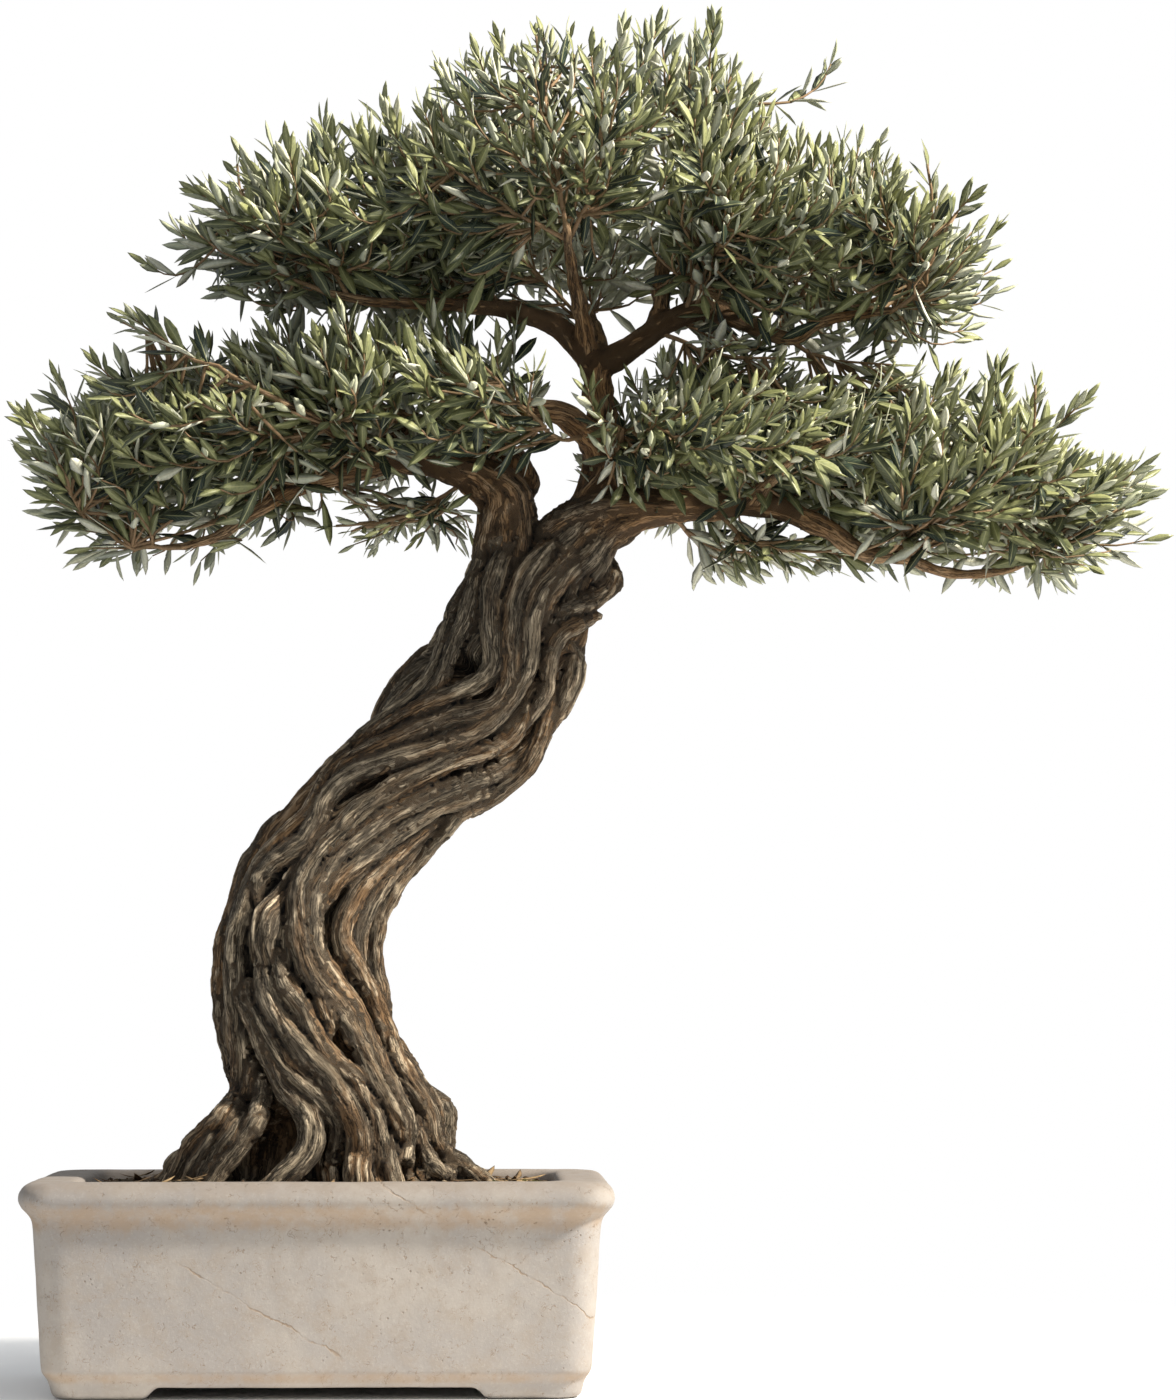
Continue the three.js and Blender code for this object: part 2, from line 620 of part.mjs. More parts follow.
// Chooses the limb that a spray grows from, and the stem that misses all other wood.
function growStem(tip, places, leafLength, standing) {
  const ranked = places.map((place) => {
    const toTip = tip.clone().sub(place.point);
    const distance = toTip.length();
    const along = toTip.dot(place.ahead) / distance;
    const drop = Math.max(0, place.point.z - tip.z) / distance;
    return { place, cost: Math.abs(distance - SPRAY_REACH) + 36 * (1 - along) + 30 * drop };
  }).sort((first, second) => first.cost - second.cost);
  for (const { place } of ranked.slice(0, 24)) {
    for (const extra of [0, 0.6, 1.5]) {
      const chain = stemLine(place, tip, extra);
      const body = stemBody(chain, leafLength);
      const thick = stemBody(chain, leafLength, CLEARANCE);
      if (isClear(body, [standing.wood]) && isClear(thick, standing.stems)) {
        return { chain, body };
      }
    }
  }
  return null;
}

function leafLength(draw) {
  return LEAF_LENGTH * (0.82 + 0.3 * draw());
}

// Adds one leaf, turned round its shoot until it misses everything that stands there.
function addLeaf(spray, root, ahead, out, others) {
  const length = leafLength(spray.draw);
  for (const bend of BENDS) {
    const turned = out.clone().applyAxisAngle(ahead, degrees(bend));
    const direction = leaning(ahead, turned, LEAF_LEAN);
    const face = UP.clone().addScaledVector(ahead, 0.4);
    const test = leafBody(root, direction, face, length, CLEARANCE);
    const ownRoot = root.clone().addScaledVector(direction, 6);
    const outer = leafBody(ownRoot, direction, face, length - 6);
    if (isClear(test, others) && isClear(outer, spray.leaves)) {
      spray.leaves.push(leafBody(root, direction, face, length));
      return;
    }
  }
}

function addLeaves(spray, chain, pairs, others, turn) {
  pairs.forEach((share, index) => {
    const { point, ahead } = onChain(chain, share);
    const out = sideways(ahead, turn + index * 90 + 24 * (spray.draw() - 0.5));
    addLeaf(spray, point, ahead, out, others);
    addLeaf(spray, point, ahead, out.clone().negate(), others);
  });
}

// A side shoot that misses the wood and the other sprays, or null if no turn is clear.
function growShoot(stem, share, side, draw, others) {
  const { point, ahead } = onChain(stem, share);
  const length = SHOOT_LENGTH * (0.85 + 0.3 * draw());
  const swing = 50 * (draw() - 0.5);
  const tipLeaf = leafLength(draw);
  for (const bend of BENDS) {
    const out = sideways(ahead, bend + 180 * side + swing);
    const end = point.clone().addScaledVector(leaning(ahead, out, SHOOT_LEAN), length);
    const chain = [point, end];
    const thick = twigBody(chain, SHOOT_RADIUS, SHOOT_TIP_RADIUS, tipLeaf, CLEARANCE);
    if (isClear(thick, others)) {
      return { chain, body: twigBody(chain, SHOOT_RADIUS, SHOOT_TIP_RADIUS, tipLeaf) };
    }
  }
  return null;
}

// Stems and side shoots first, so that leaves can then be bent clear of all of them.
function makeSprays(wood) {
  const places = limbPlaces();
  const standing = { wood, stems: [] };
  const sprays = [];
  CLOUDS.forEach((cloud) => {
    cloudTips(cloud).forEach((tip, index) => {
      const draw = draws(cloud.seed + index);
      const name = `${cloud.name}_spray_${index + 1}`;
      const tipLeaf = leafLength(draw);
      const stem = growStem(tip, places, tipLeaf, standing);
      if (!stem) throw new Error(`${name} finds no clear way to a limb`);
      const others = [wood, ...standing.stems];
      const shoots = SHOOTS_AT.map((share, side) => {
        return growShoot(stem.chain, share, side, draw, others);
      }).filter((shoot) => shoot);
      const body = joined([stem.body, ...shoots.map((shoot) => shoot.body)]);
      standing.stems.push(body);
      sprays.push({ name, draw, body, shoots, stem: stem.chain, leaves: [] });
    });
  });
  const finished = [...standing.stems];
  sprays.forEach((spray, index) => {
    const others = [wood, ...finished.filter((_, at) => at !== index)];
    addLeaves(spray, spray.stem, PAIRS_ON_STEM, others, 0);
    spray.shoots.forEach((shoot, side) => {
      addLeaves(spray, shoot.chain, PAIRS_ON_SHOOT, others, 30 + 60 * side);
    });
    finished[index] = joined([spray.body, ...spray.leaves]);
    addPiece(spray.name, finished[index], 0x6d7355, 0.6);
  });
}

// ---------------------------------------------------------------- putting it together

makePot();
makeScreen("drain_screen_left", -DRAIN_X);
makeScreen("drain_screen_right", DRAIN_X);
makeGravel();
makeSoil();
makeSprays(makeWood());

const box = new THREE.Box3().setFromObject(model);
const middle = box.getCenter(new THREE.Vector3());
model.position.set(-middle.x, -middle.y, -box.min.z);

export default model;
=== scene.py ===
# An olive bonsai in a carved stone trough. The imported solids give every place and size, and
# this script lays the finished surfaces over them, in metres.

import math

import bpy
import numpy as np
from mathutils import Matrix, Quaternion, Vector, noise


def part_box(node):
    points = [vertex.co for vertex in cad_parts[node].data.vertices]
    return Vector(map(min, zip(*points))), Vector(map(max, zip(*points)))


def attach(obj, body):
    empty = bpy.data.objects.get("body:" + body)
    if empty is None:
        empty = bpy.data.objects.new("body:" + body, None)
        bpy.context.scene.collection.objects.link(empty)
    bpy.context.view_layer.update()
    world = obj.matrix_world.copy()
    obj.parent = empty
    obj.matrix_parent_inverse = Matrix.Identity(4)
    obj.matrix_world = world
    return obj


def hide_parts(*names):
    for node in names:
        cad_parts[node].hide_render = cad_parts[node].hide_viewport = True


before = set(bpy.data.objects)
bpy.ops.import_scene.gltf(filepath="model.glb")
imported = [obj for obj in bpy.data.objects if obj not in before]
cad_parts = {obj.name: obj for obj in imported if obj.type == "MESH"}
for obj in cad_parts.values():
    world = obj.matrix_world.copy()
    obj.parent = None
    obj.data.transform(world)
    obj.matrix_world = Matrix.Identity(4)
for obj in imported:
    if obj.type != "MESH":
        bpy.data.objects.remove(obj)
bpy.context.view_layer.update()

# ---------------------------------------------------------------- stone trough
# One block of cream limestone, hollowed and rubbed smooth by hand: a rounded rim over a cove,
# walls that lean out a little, a base step and four corner feet, with two drain holes.

MM = 0.001
trough_low, trough_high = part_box("pot")
trough_middle = (trough_low + trough_high) / 2

TROUGH_WIDTH = 447
TROUGH_DEPTH = 300
TROUGH_HEIGHT = 162
FOOT_CORNER = 21
RIM_ROLL = 12
RIM_ANGLES = range(-42, 91, 12)  # degrees round the rim's roll, from under it to its top
CAVITY_WIDTH = 362
CAVITY_DEPTH = 228
CAVITY_TAPER = 9
CAVITY_LIP = 3
FLOOR_TOP = 26
DRAIN_RADIUS = 14
DRAIN_X = 95
DRAIN_SIDES = 28
ARCH_HEIGHT = 9
FRONT_ARCH = 259  # the gap between the front feet, and between the back ones
SIDE_ARCH = 156
ARCH_SLOPE = 10
THROUGH = 20  # how much longer a cutter is than what it goes through
STONE_CELL = 2.9  # size of the faces of the worn stone
STONE_KEPT = 0.36  # share of those faces that stays
WEAR_SIZE = 0.045
WEAR_DEPTH = 0.0011
FOOT_FLAT = 0.4  # what wears no further up than this stands flat on the floor

# Height of each turn of the outside, and how far it lies inside the rim there.
WALL_TURNS = [
    (0, 29.5), (1, 26.5), (3, 24.8), (14.5, 22.2), (16, 20.9), (18, 18.6), (20.5, 17.4), (24, 17),
    (128, 10.6), (133, 10), (136.5, 8.4),
]


def place(x, y, z):
    """A point given from the middle of the trough's foot, in mm, as a place in metres."""
    return Vector((trough_middle.x + x * MM, trough_middle.y + y * MM, z * MM))


def deselect_all():
    """Leaves edit mode and lets go of everything."""
    if bpy.context.object and bpy.context.object.mode != "OBJECT":
        bpy.ops.object.mode_set(mode="OBJECT")
    bpy.ops.object.select_all(action="DESELECT")


def settle(piece):
    """Puts the piece's place into its mesh, so that its object sits at the origin."""
    deselect_all()
    piece.select_set(True)
    bpy.context.view_layer.objects.active = piece
    bpy.ops.object.transform_apply(location=True, rotation=True, scale=True)


def apply_modifier(piece, kind, **settings):
    """Adds one modifier and applies it."""
    bpy.context.view_layer.objects.active = piece
    modifier = piece.modifiers.new(kind.lower(), kind)
    for name, value in settings.items():
        setattr(modifier, name, value)
    bpy.ops.object.modifier_apply(modifier=modifier.name)


def raise_to(width, depth, z, past):
    """Pulls the selected level up from the past one to a new size and height."""
    rise = (0, 0, (z - past[2]) * MM)
    bpy.ops.mesh.extrude_region_move(TRANSFORM_OT_translate={"value": rise})
    bpy.ops.transform.resize(
        value=(width / past[0], depth / past[1], 1), center_override=place(0, 0, z))
    return width, depth, z


def cut_away(piece, cutter):
    """Cuts the cutter's shape out of the piece and throws the cutter away."""
    apply_modifier(piece, "BOOLEAN", object=cutter, operation="DIFFERENCE", solver="EXACT")
    bpy.data.objects.remove(cutter)


def arch_cutter(length, run, turned):
    """A block with leaning ends, as wide as the gap between two feet."""
    deselect_all()
    bpy.ops.mesh.primitive_cube_add(size=1, location=place(0, 0, ARCH_HEIGHT / 2 - 1))
    cutter = bpy.context.object
    for corner in cutter.data.vertices:
        narrow = 1 - 2 * ARCH_SLOPE / length if corner.co.z > 0 else 1
        size = (length * narrow, run) if not turned else (run, length * narrow)
        corner.co.x *= size[0] * MM
        corner.co.y *= size[1] * MM
        corner.co.z *= (ARCH_HEIGHT + 2) * MM
    return cutter


deselect_all()
bpy.ops.mesh.primitive_plane_add(size=1, location=place(0, 0, 0))
trough = bpy.context.object
trough.name = "stone_trough"
bpy.ops.object.mode_set(mode="EDIT")
bpy.ops.mesh.select_all(action="SELECT")
level = (TROUGH_WIDTH - 2 * WALL_TURNS[0][1], TROUGH_DEPTH - 2 * WALL_TURNS[0][1], 0)
bpy.ops.transform.resize(
    value=(level[0] * MM, level[1] * MM, 1), center_override=place(0, 0, 0))
bpy.ops.mesh.bevel(
    affect="VERTICES", offset=FOOT_CORNER * MM, segments=9, profile=0.5)
turns = list(WALL_TURNS[1:])
for angle in RIM_ANGLES:
    swing = math.radians(angle)
    turns.append((
        TROUGH_HEIGHT - RIM_ROLL * (1 - math.sin(swing)), RIM_ROLL * (1 - math.cos(swing))))
for z, inset in turns:
    level = raise_to(TROUGH_WIDTH - 2 * inset, TROUGH_DEPTH - 2 * inset, z, level)
for z, inset in (
    (TROUGH_HEIGHT, -CAVITY_LIP), (TROUGH_HEIGHT - CAVITY_LIP, 0), (FLOOR_TOP, CAVITY_TAPER),
):
    level = raise_to(CAVITY_WIDTH - 2 * inset, CAVITY_DEPTH - 2 * inset, z, level)
settle(trough)
cut_away(trough, arch_cutter(FRONT_ARCH, TROUGH_DEPTH + THROUGH, False))
cut_away(trough, arch_cutter(SIDE_ARCH, TROUGH_WIDTH + THROUGH, True))
for x in (-DRAIN_X, DRAIN_X):
    deselect_all()
    bpy.ops.mesh.primitive_cylinder_add(
        vertices=DRAIN_SIDES, radius=DRAIN_RADIUS * MM, depth=3 * FLOOR_TOP * MM,
        location=place(x, 0, FLOOR_TOP / 2))
    cut_away(trough, bpy.context.object)
apply_modifier(trough, "REMESH", mode="VOXEL", voxel_size=STONE_CELL * MM)
apply_modifier(trough, "SMOOTH", factor=0.5, iterations=3)
weather = bpy.data.textures.new("weathering", "CLOUDS")
weather.noise_scale = WEAR_SIZE
weather.noise_depth = 3
apply_modifier(trough, "DISPLACE", texture=weather, strength=WEAR_DEPTH, mid_level=0.5)
apply_modifier(trough, "DECIMATE", ratio=STONE_KEPT)
for corner in trough.data.vertices:
    corner.co.z = 0 if corner.co.z < FOOT_FLAT * MM else corner.co.z
deselect_all()
trough.select_set(True)
bpy.context.view_layer.objects.active = trough
bpy.ops.object.shade_smooth()


def tint(red, green, blue):
    """A colour as a paint card gives it, 0 to 255, turned into light values."""
    parts = [value / 255 for value in (red, green, blue)]
    return tuple([((part + 0.055) / 1.055) ** 2.4 for part in parts] + [1])


class Shade:
    """A value on its way through a finish. Sums and products of it add their Math nodes."""

    def __init__(self, finish, socket):
        self.finish = finish
        self.socket = socket

    def worked(self, operation, first, second):
        return self.finish.node("ShaderNodeMath", {"operation": operation}, {0: first, 1: second})

    def __add__(self, other):
        return self.worked("ADD", self, other)

    def __sub__(self, other):
        return self.worked("SUBTRACT", self, other)

    def __rsub__(self, other):
        return self.worked("SUBTRACT", other, self)

    def __mul__(self, other):
        return self.worked("MULTIPLY", self, other)

    def __abs__(self):
        return self.worked("ABSOLUTE", self, 0)

    def between(self, low, high, start=0, end=1):
        """The value's way from low to high, smoothed, as a way from start to end."""
        return self.finish.node("ShaderNodeMapRange", {"interpolation_type": "SMOOTHSTEP"}, {
            "Value": self, "From Min": low, "From Max": high, "To Min": start, "To Max": end})

    __radd__ = __add__
    __rmul__ = __mul__


class Finish:
    """A procedural finish: nodes that end in one Principled surface, or in a world's light."""

    def __init__(self, name, constants, world=None):
        self.material = world or bpy.data.materials.new(name)
        self.material.use_nodes = True
        self.tree = self.material.node_tree
        self.surface = self.tree.nodes["Background" if world else "Principled BSDF"]
        for socket, value in constants.items():
            self.surface.inputs[socket].default_value = value

    def node(self, kind, settings=None, values=None, output=0):
        """Adds one node: its settings first, then the values or links of its sockets."""
        made = self.tree.nodes.new(kind)
        for name, setting in (settings or {}).items():
            if name == "stops":
                made.color_ramp.elements.remove(made.color_ramp.elements[1])
                made.color_ramp.elements[0].position = setting[0][0]
                made.color_ramp.elements[0].color = setting[0][1]
                for where, colour in setting[1:]:
                    made.color_ramp.elements.new(where).color = colour
            else:
                setattr(made, name, setting)
        for socket, value in (values or {}).items():
            self.feed(made.inputs[socket], value)
        return Shade(self, made.outputs[output])

    def feed(self, socket, value):
        if isinstance(value, Shade):
            self.tree.links.new(value.socket, socket)
        else:
            socket.default_value = value

    def spot(self):
        """The place on the piece, in metres from the object's middle."""
        return self.node("ShaderNodeTexCoord", output="Object")

    def attribute(self, name, output="Fac"):
        return self.node("ShaderNodeAttribute", {"attribute_name": name}, output=output)

    def part(self, vector, index):
        """One of a vector's three values."""
        return self.node("ShaderNodeSeparateXYZ", {}, {0: vector}, output=index)

    def cells(self, where, scale, output=0):
        return self.node("ShaderNodeTexVoronoi", {}, {"Vector": where, "Scale": scale}, output)

    def noise(self, where, scale, detail=4, roughness=0.55):
        return self.node("ShaderNodeTexNoise", {}, {
            "Vector": where, "Scale": scale, "Detail": detail, "Roughness": roughness})

    def mixed(self, share, first, second, blend="MIX"):
        return self.node("ShaderNodeMix", {"data_type": "RGBA", "blend_type": blend}, {
            0: share, 6: first, 7: second}, output=2)

    def coats(self, colour, *coats):
        """A colour under coats laid on in turn: how much of each shows, and its tint."""
        colour = colour if isinstance(colour, Shade) else tint(*colour)
        for share, over in coats:
            colour = self.mixed(share, colour, tint(*over))
        return colour

    def stretched(self, where, across, along):
        """Places for a pattern that is drawn out along Z, or squeezed where along is over 1."""
        return self.node("ShaderNodeVectorMath", {"operation": "MULTIPLY"}, {
            0: where, 1: (across, across, along)})

    def surface_gets(self, colour, roughness, relief, distance, strength):
        self.feed(self.surface.inputs["Base Color"], colour)
        self.feed(self.surface.inputs["Roughness"], roughness)
        bump = self.node("ShaderNodeBump", {}, {
            "Height": relief, "Distance": distance, "Strength": strength})
        self.feed(self.surface.inputs["Normal"], bump)


# Two thin veins slant over the front, each a line along which a slanting measure of the place
# comes back to 0. The stone is stained where water stands, under the rim and at the base step.
VEIN_SLANT = (0.515, 0.857)
VEIN_APART = 0.0625  # half the way from one vein to the next
VEIN_SHIFT = 0.0573
VEINED_MIDDLE = 0.1594
VEINED_REACH = 0.09
STAINED_HEIGHT = 0.136
STEP_HEIGHT = 0.0165
limestone = Finish("limestone", {"Specular IOR Level": 0.35})
spot = limestone.spot()
height = limestone.part(spot, 2)
clouds = limestone.noise(spot, 9, 7, 0.6)
mottle = limestone.noise(spot, 55, 6, 0.65)
speckle = limestone.noise(spot, 420, 4, 0.7)
aside = limestone.part(spot, 0)
slanting = aside * VEIN_SLANT[0] + height * VEIN_SLANT[1]
slanting = slanting + limestone.noise(spot, 16, 7, 0.6) * 0.03 + VEIN_SHIFT
slanting = slanting + limestone.noise(spot, 75, 5, 0.6) * 0.004
seams = limestone.node("ShaderNodeMath", {"operation": "PINGPONG"}, {0: slanting, 1: VEIN_APART})
along = abs(abs(aside * VEIN_SLANT[1] - height * VEIN_SLANT[0] + VEINED_MIDDLE) - VEINED_REACH)
veins = seams.between(0.0002, 0.0011, 1, 0) * along.between(0.055, 0.08, 1, 0)
veins = veins * limestone.noise(spot, 60, 4).between(0.4, 0.56, 0.2, 1)
hairs = abs(limestone.noise(spot, 150, 3, 0.5) - 0.5).between(0.002, 0.012, 1, 0)
hairs = hairs * limestone.noise(spot, 85, 4).between(0.47, 0.6)
scratches = abs(limestone.noise(spot, 62, 4, 0.6) - 0.5).between(0.002, 0.011, 1, 0)
scratches = scratches * limestone.noise(spot, 120, 3).between(0.55, 0.62)
pits = limestone.cells(spot, 210).between(0.1, 0.22, 1, 0)
pits = pits * limestone.noise(spot, 30, 4).between(0.56, 0.7)
ragged = height + (limestone.noise(limestone.stretched(spot, 1, 0.3), 70, 6, 0.7) - 0.5) * 0.022
under_rim = abs(ragged - STAINED_HEIGHT).between(0.004, 0.013, 1, 0)
at_step = abs(height - STEP_HEIGHT).between(0.001, 0.006, 1, 0)
stain = (under_rim * 0.85 + at_step * 0.75) * mottle.between(0.3, 0.62, 0.35, 1)
# The top of the rim gets painted shade: it is darkened as if the foliage's shadow lay on it.
rim_top_painted_shade = height.between(0.1485, 0.1605) * mottle.between(0.3, 0.6, 0.75, 1)
colour = limestone.coats(
    (158, 152, 147),
    (clouds.between(0.36, 0.64), (174, 166, 157)),
    (mottle.between(0.42, 0.7) * 0.55, (160, 148, 135)),
    (speckle.between(0.5, 0.75) * 0.3, (195, 188, 180)),
    (stain * 0.6, (164, 138, 110)),
    (hairs * 0.55, (134, 112, 88)),
    (scratches * 0.55, (132, 108, 82)),
    (veins * 0.6, (140, 114, 84)),
    (pits * 0.6, (120, 102, 80)),
    (rim_top_painted_shade * 0.66, (130, 119, 108)))
relief = clouds * 0.4 + mottle * 0.5 + speckle * 0.16
relief = relief - veins * 0.35 - scratches * 0.25 - pits * 0.6
limestone.surface_gets(colour, mottle.between(0.3, 0.7, 0.66, 0.82), relief, 0.0016, 0.7)
trough.data.materials.append(limestone.material)
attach(trough, "root")
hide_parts("pot")

# ---------------------------------------------------------------- drain screens and gravel
# A square of black plastic mesh lies over each drain hole, and washed gravel covers them. The
# soil hides both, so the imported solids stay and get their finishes.

PEBBLES = 170  # how many lie side by side in a metre

screen_plastic = Finish("screen_plastic", {"IOR": 1.48})
spot = screen_plastic.spot()
dust = screen_plastic.noise(spot, 260, 5)
scuff = screen_plastic.noise(screen_plastic.stretched(spot, 1, 6), 180, 4)
colour = screen_plastic.coats((34, 35, 36), (dust.between(0.5, 0.75) * 0.5, (112, 100, 84)))
screen_plastic.surface_gets(colour, dust.between(0.4, 0.7, 0.45, 0.8), scuff, 0.0003, 0.5)

washed_gravel = Finish("washed_gravel", {"Specular IOR Level": 0.4})
spot = washed_gravel.spot()
pebbles = washed_gravel.cells(spot, PEBBLES)
tones = washed_gravel.cells(spot, PEBBLES, 1)
grit = washed_gravel.noise(spot, 900, 4)
colour = washed_gravel.mixed(0.75, tones, tint(148, 136, 120), "COLOR")
colour = washed_gravel.coats(colour, (pebbles.between(0.35, 0.7), (58, 50, 42)))
washed_gravel.surface_gets(colour, 0.75, 1 - pebbles + grit * 0.1, 0.003, 1)

for name, finish in (
    ("drain_screen_left", screen_plastic), ("drain_screen_right", screen_plastic),
    ("drainage_gravel", washed_gravel),
):
    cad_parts[name].data.materials.clear()
    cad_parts[name].data.materials.append(finish.material)

# ---------------------------------------------------------------- soil
# Gritty bonsai mix, filled to just under the rim and raised a little towards the tree. It is
# one crumbly bed with loose grains pressed into its top.

SOIL_EDGE = 153
SOIL_CROWN = 7
BED_GAP = 0.6
BED_CORNER = 13
BED_CELL = 3
BED_DEEP = 40
LUMPS = (2.2, 26)  # height, and how far apart
CRUMBS = (1.1, 6)
GRAIN_COUNT = 1500
GRAIN_SIZE = (0.9, 2.1)  # the smallest, and how much more the largest has
GRAIN_FREE = 7  # no grain lies this near the cavity's wall


def soil_height(x, y):
    """The bed's smooth height in mm at a place given from the middle of the trough."""
    share = max(abs(x) / (CAVITY_WIDTH / 2), abs(y) / (CAVITY_DEPTH / 2))
    return SOIL_EDGE + SOIL_CROWN * (1 - min(share, 1) ** 2)


def crumbly(x, y):
    """The bed's height with its crumbs and hollows."""
    spot_here = Vector((x, y, 0))
    height = soil_height(x, y)
    for size, apart in (LUMPS, CRUMBS):
        height += size * noise.fractal(spot_here / apart, 1, 2, 3)
    return height


deselect_all()
bed_length = CAVITY_WIDTH - 2 * BED_GAP
bed_depth = CAVITY_DEPTH - 2 * BED_GAP
bpy.ops.mesh.primitive_grid_add(
    x_subdivisions=round(bed_length / BED_CELL), y_subdivisions=round(bed_depth / BED_CELL),
    size=1, location=place(0, 0, 0))
bed = bpy.context.object
bed.name = "soil_bed"
for corner in bed.data.vertices:
    x, y = corner.co.x * bed_length, corner.co.y * bed_depth
    past_x = abs(x) - (bed_length / 2 - BED_CORNER)
    past_y = abs(y) - (bed_depth / 2 - BED_CORNER)
    if past_x > 0 and past_y > 0:
        squeeze = max(past_x, past_y) / math.hypot(past_x, past_y)
        x -= math.copysign(past_x * (1 - squeeze), x)
        y -= math.copysign(past_y * (1 - squeeze), y)
    corner.co = Vector((x, y, crumbly(x, y))) * MM
bpy.ops.object.mode_set(mode="EDIT")
bpy.ops.mesh.select_all(action="SELECT")
bpy.ops.mesh.region_to_loop()
bpy.ops.mesh.extrude_region_move(TRANSFORM_OT_translate={"value": (0, 0, -BED_DEEP * MM)})
bpy.ops.mesh.edge_face_add()
settle(bed)
bed.data.shade_smooth()

potting_mix = Finish("potting_mix", {"Specular IOR Level": 0.25})
spot = potting_mix.spot()
crumbs = potting_mix.noise(spot, 190, 8, 0.7)
patches = potting_mix.noise(spot, 22, 4)
flecks = potting_mix.cells(spot, 330)
colour = potting_mix.coats(
    (38, 29, 20),
    (crumbs.between(0.35, 0.7), (101, 80, 58)),
    (patches.between(0.5, 0.7) * 0.6, (62, 60, 34)),
    (flecks.between(0.08, 0.2, 0.55, 0), (160, 136, 100)))
potting_mix.surface_gets(colour, 0.93, crumbs - flecks * 0.3, 0.004, 1)
bed.data.materials.append(potting_mix.material)
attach(bed, "root")
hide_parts("soil")


def draws(seed):
    """Repeatable numbers between 0 and 1."""
    state = seed * 7919 + 29
    while True:
        state = state * 16807 % 2147483647
        yield state / 2147483647


def new_piece(name, corners, faces, finish):
    """A piece of the tree's body from corners in metres and faces that look outwards."""
    mesh = bpy.data.meshes.new(name)
    mesh.from_pydata(corners, [], faces)
    mesh.update()
    piece = bpy.data.objects.new(name, mesh)
    bpy.context.scene.collection.objects.link(piece)
    mesh.materials.append(finish.material)
    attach(piece, "root")
    return piece


def mark(piece, name, values, where="POINT"):
    """Gives each corner or face a value, or a vector, that the finish reads by its name."""
    values = np.asarray(values, np.float32)
    kind, field = ("FLOAT", "value") if values.ndim == 1 else ("FLOAT_VECTOR", "vector")
    piece.data.attributes.new(name, kind, where).data.foreach_set(field, values.ravel())


def lump(fineness):
    """Corners and faces of a round lump of radius 1, for shaping and copying."""
    deselect_all()
    bpy.ops.mesh.primitive_ico_sphere_add(subdivisions=fineness, radius=1)
    ball = bpy.context.object
    corners = np.array([corner.co for corner in ball.data.vertices])
    faces = np.array([list(face.vertices) for face in ball.data.polygons])
    bpy.data.objects.remove(ball)
    return corners, faces


def spun(points, turn):
    """Points turned about the upright, by an angle in radians."""
    return points @ np.array([
        [math.cos(turn), math.sin(turn), 0], [-math.sin(turn), math.cos(turn), 0], [0, 0, 1]])


# One chip of lava and baked clay, copied all over the bed, each turned and sized on its own.
chip_corners, chip_faces = lump(1)
draw = draws(301)
grain_corners = []
grain_faces = []
grain_tones = []
for index in range(GRAIN_COUNT):
    x = (next(draw) - 0.5) * (bed_length - 2 * GRAIN_FREE)
    y = (next(draw) - 0.5) * (bed_depth - 2 * GRAIN_FREE)
    size = GRAIN_SIZE[0] + GRAIN_SIZE[1] * next(draw) ** 2
    grain_tones.append(next(draw))
    lift = crumbly(x, y) + 0.25 * size
    flat = np.array([[1, 1, 0.55 + 0.4 * next(draw)]]) * size
    turn = 2 * math.pi * next(draw)
    chipped = chip_corners * (0.72 + 0.5 * np.array([[next(draw)] for _ in chip_corners])) * flat
    grain_faces.append(chip_faces + len(chip_corners) * index)
    grain_corners.append(spun(chipped, turn) * MM + np.array(place(x, y, lift)))

lava_chips = Finish("lava_chips", {"Specular IOR Level": 0.3})
tone = lava_chips.attribute("tone")
pores = lava_chips.noise(lava_chips.spot(), 900, 4, 0.7)
colour = lava_chips.node("ShaderNodeValToRGB", {"stops": [
    (0, tint(48, 37, 28)), (0.35, tint(86, 62, 42)), (0.6, tint(112, 94, 72)),
    (0.82, tint(74, 66, 58)), (0.97, tint(158, 140, 114))]}, {0: tone})
colour = lava_chips.coats(colour, (pores.between(0.55, 0.7, 0, 0.7), (30, 24, 19)))
lava_chips.surface_gets(colour, 0.9, pores, 0.0006, 1)
grains = new_piece(
    "soil_grains", np.vstack(grain_corners), np.vstack(grain_faces).tolist(), lava_chips)
mark(grains, "tone", np.repeat(grain_tones, len(chip_corners)))

# ---------------------------------------------------------------- the tree's wood
# An old olive: strands of wood that have grown together, twisted round each other, into one
# leaning trunk, which forks into two limbs and a leader. Grey fibrous bark covers it.

# The trunk's middle line in mm: x, y, z, half width across the view, half depth.
TRUNK = [
    (-2, 0, 104, 62, 50), (-2, 0, 126, 106, 72), (-2, 0, 153, 137, 86), (-3, 0, 180, 111, 78),
    (11, -3, 211, 88, 70), (-5, -6, 251, 68, 64), (-17, -9, 290, 65, 60), (-20, -9, 329, 64, 58),
    (-13, -5, 364, 64, 57), (5, 1, 403, 61, 55), (36, 7, 443, 54, 53), (77, 11, 478, 57, 52),
    (100, 11, 514, 54, 52), (127, 8, 545, 53, 50), (144, 4, 580, 51, 47), (160, 1, 611, 54, 44),
    (171, 0, 639, 53, 38), (178, 0, 664, 35, 25),
]
# Each strand: the angle of the groove it begins at, that groove's depth, how far it stands out.
STRANDS = [
    (175, 0.14, 1.0), (226, 0.3, 0.93), (266, 0.17, 0.96), (297, 0.22, 1.02), (328, 0.26, 1.0),
    (365, 0.15, 0.95), (408, 0.2, 1.0), (452, 0.17, 0.94), (494, 0.21, 1.0),
]
# How far the strands have turned round the trunk: height, degrees.
TWIST = [
    (104, 0), (185, -3), (215, -13), (252, -30), (330, -38), (400, -36), (455, -18), (510, 10),
    (580, 34), (664, 44),
]
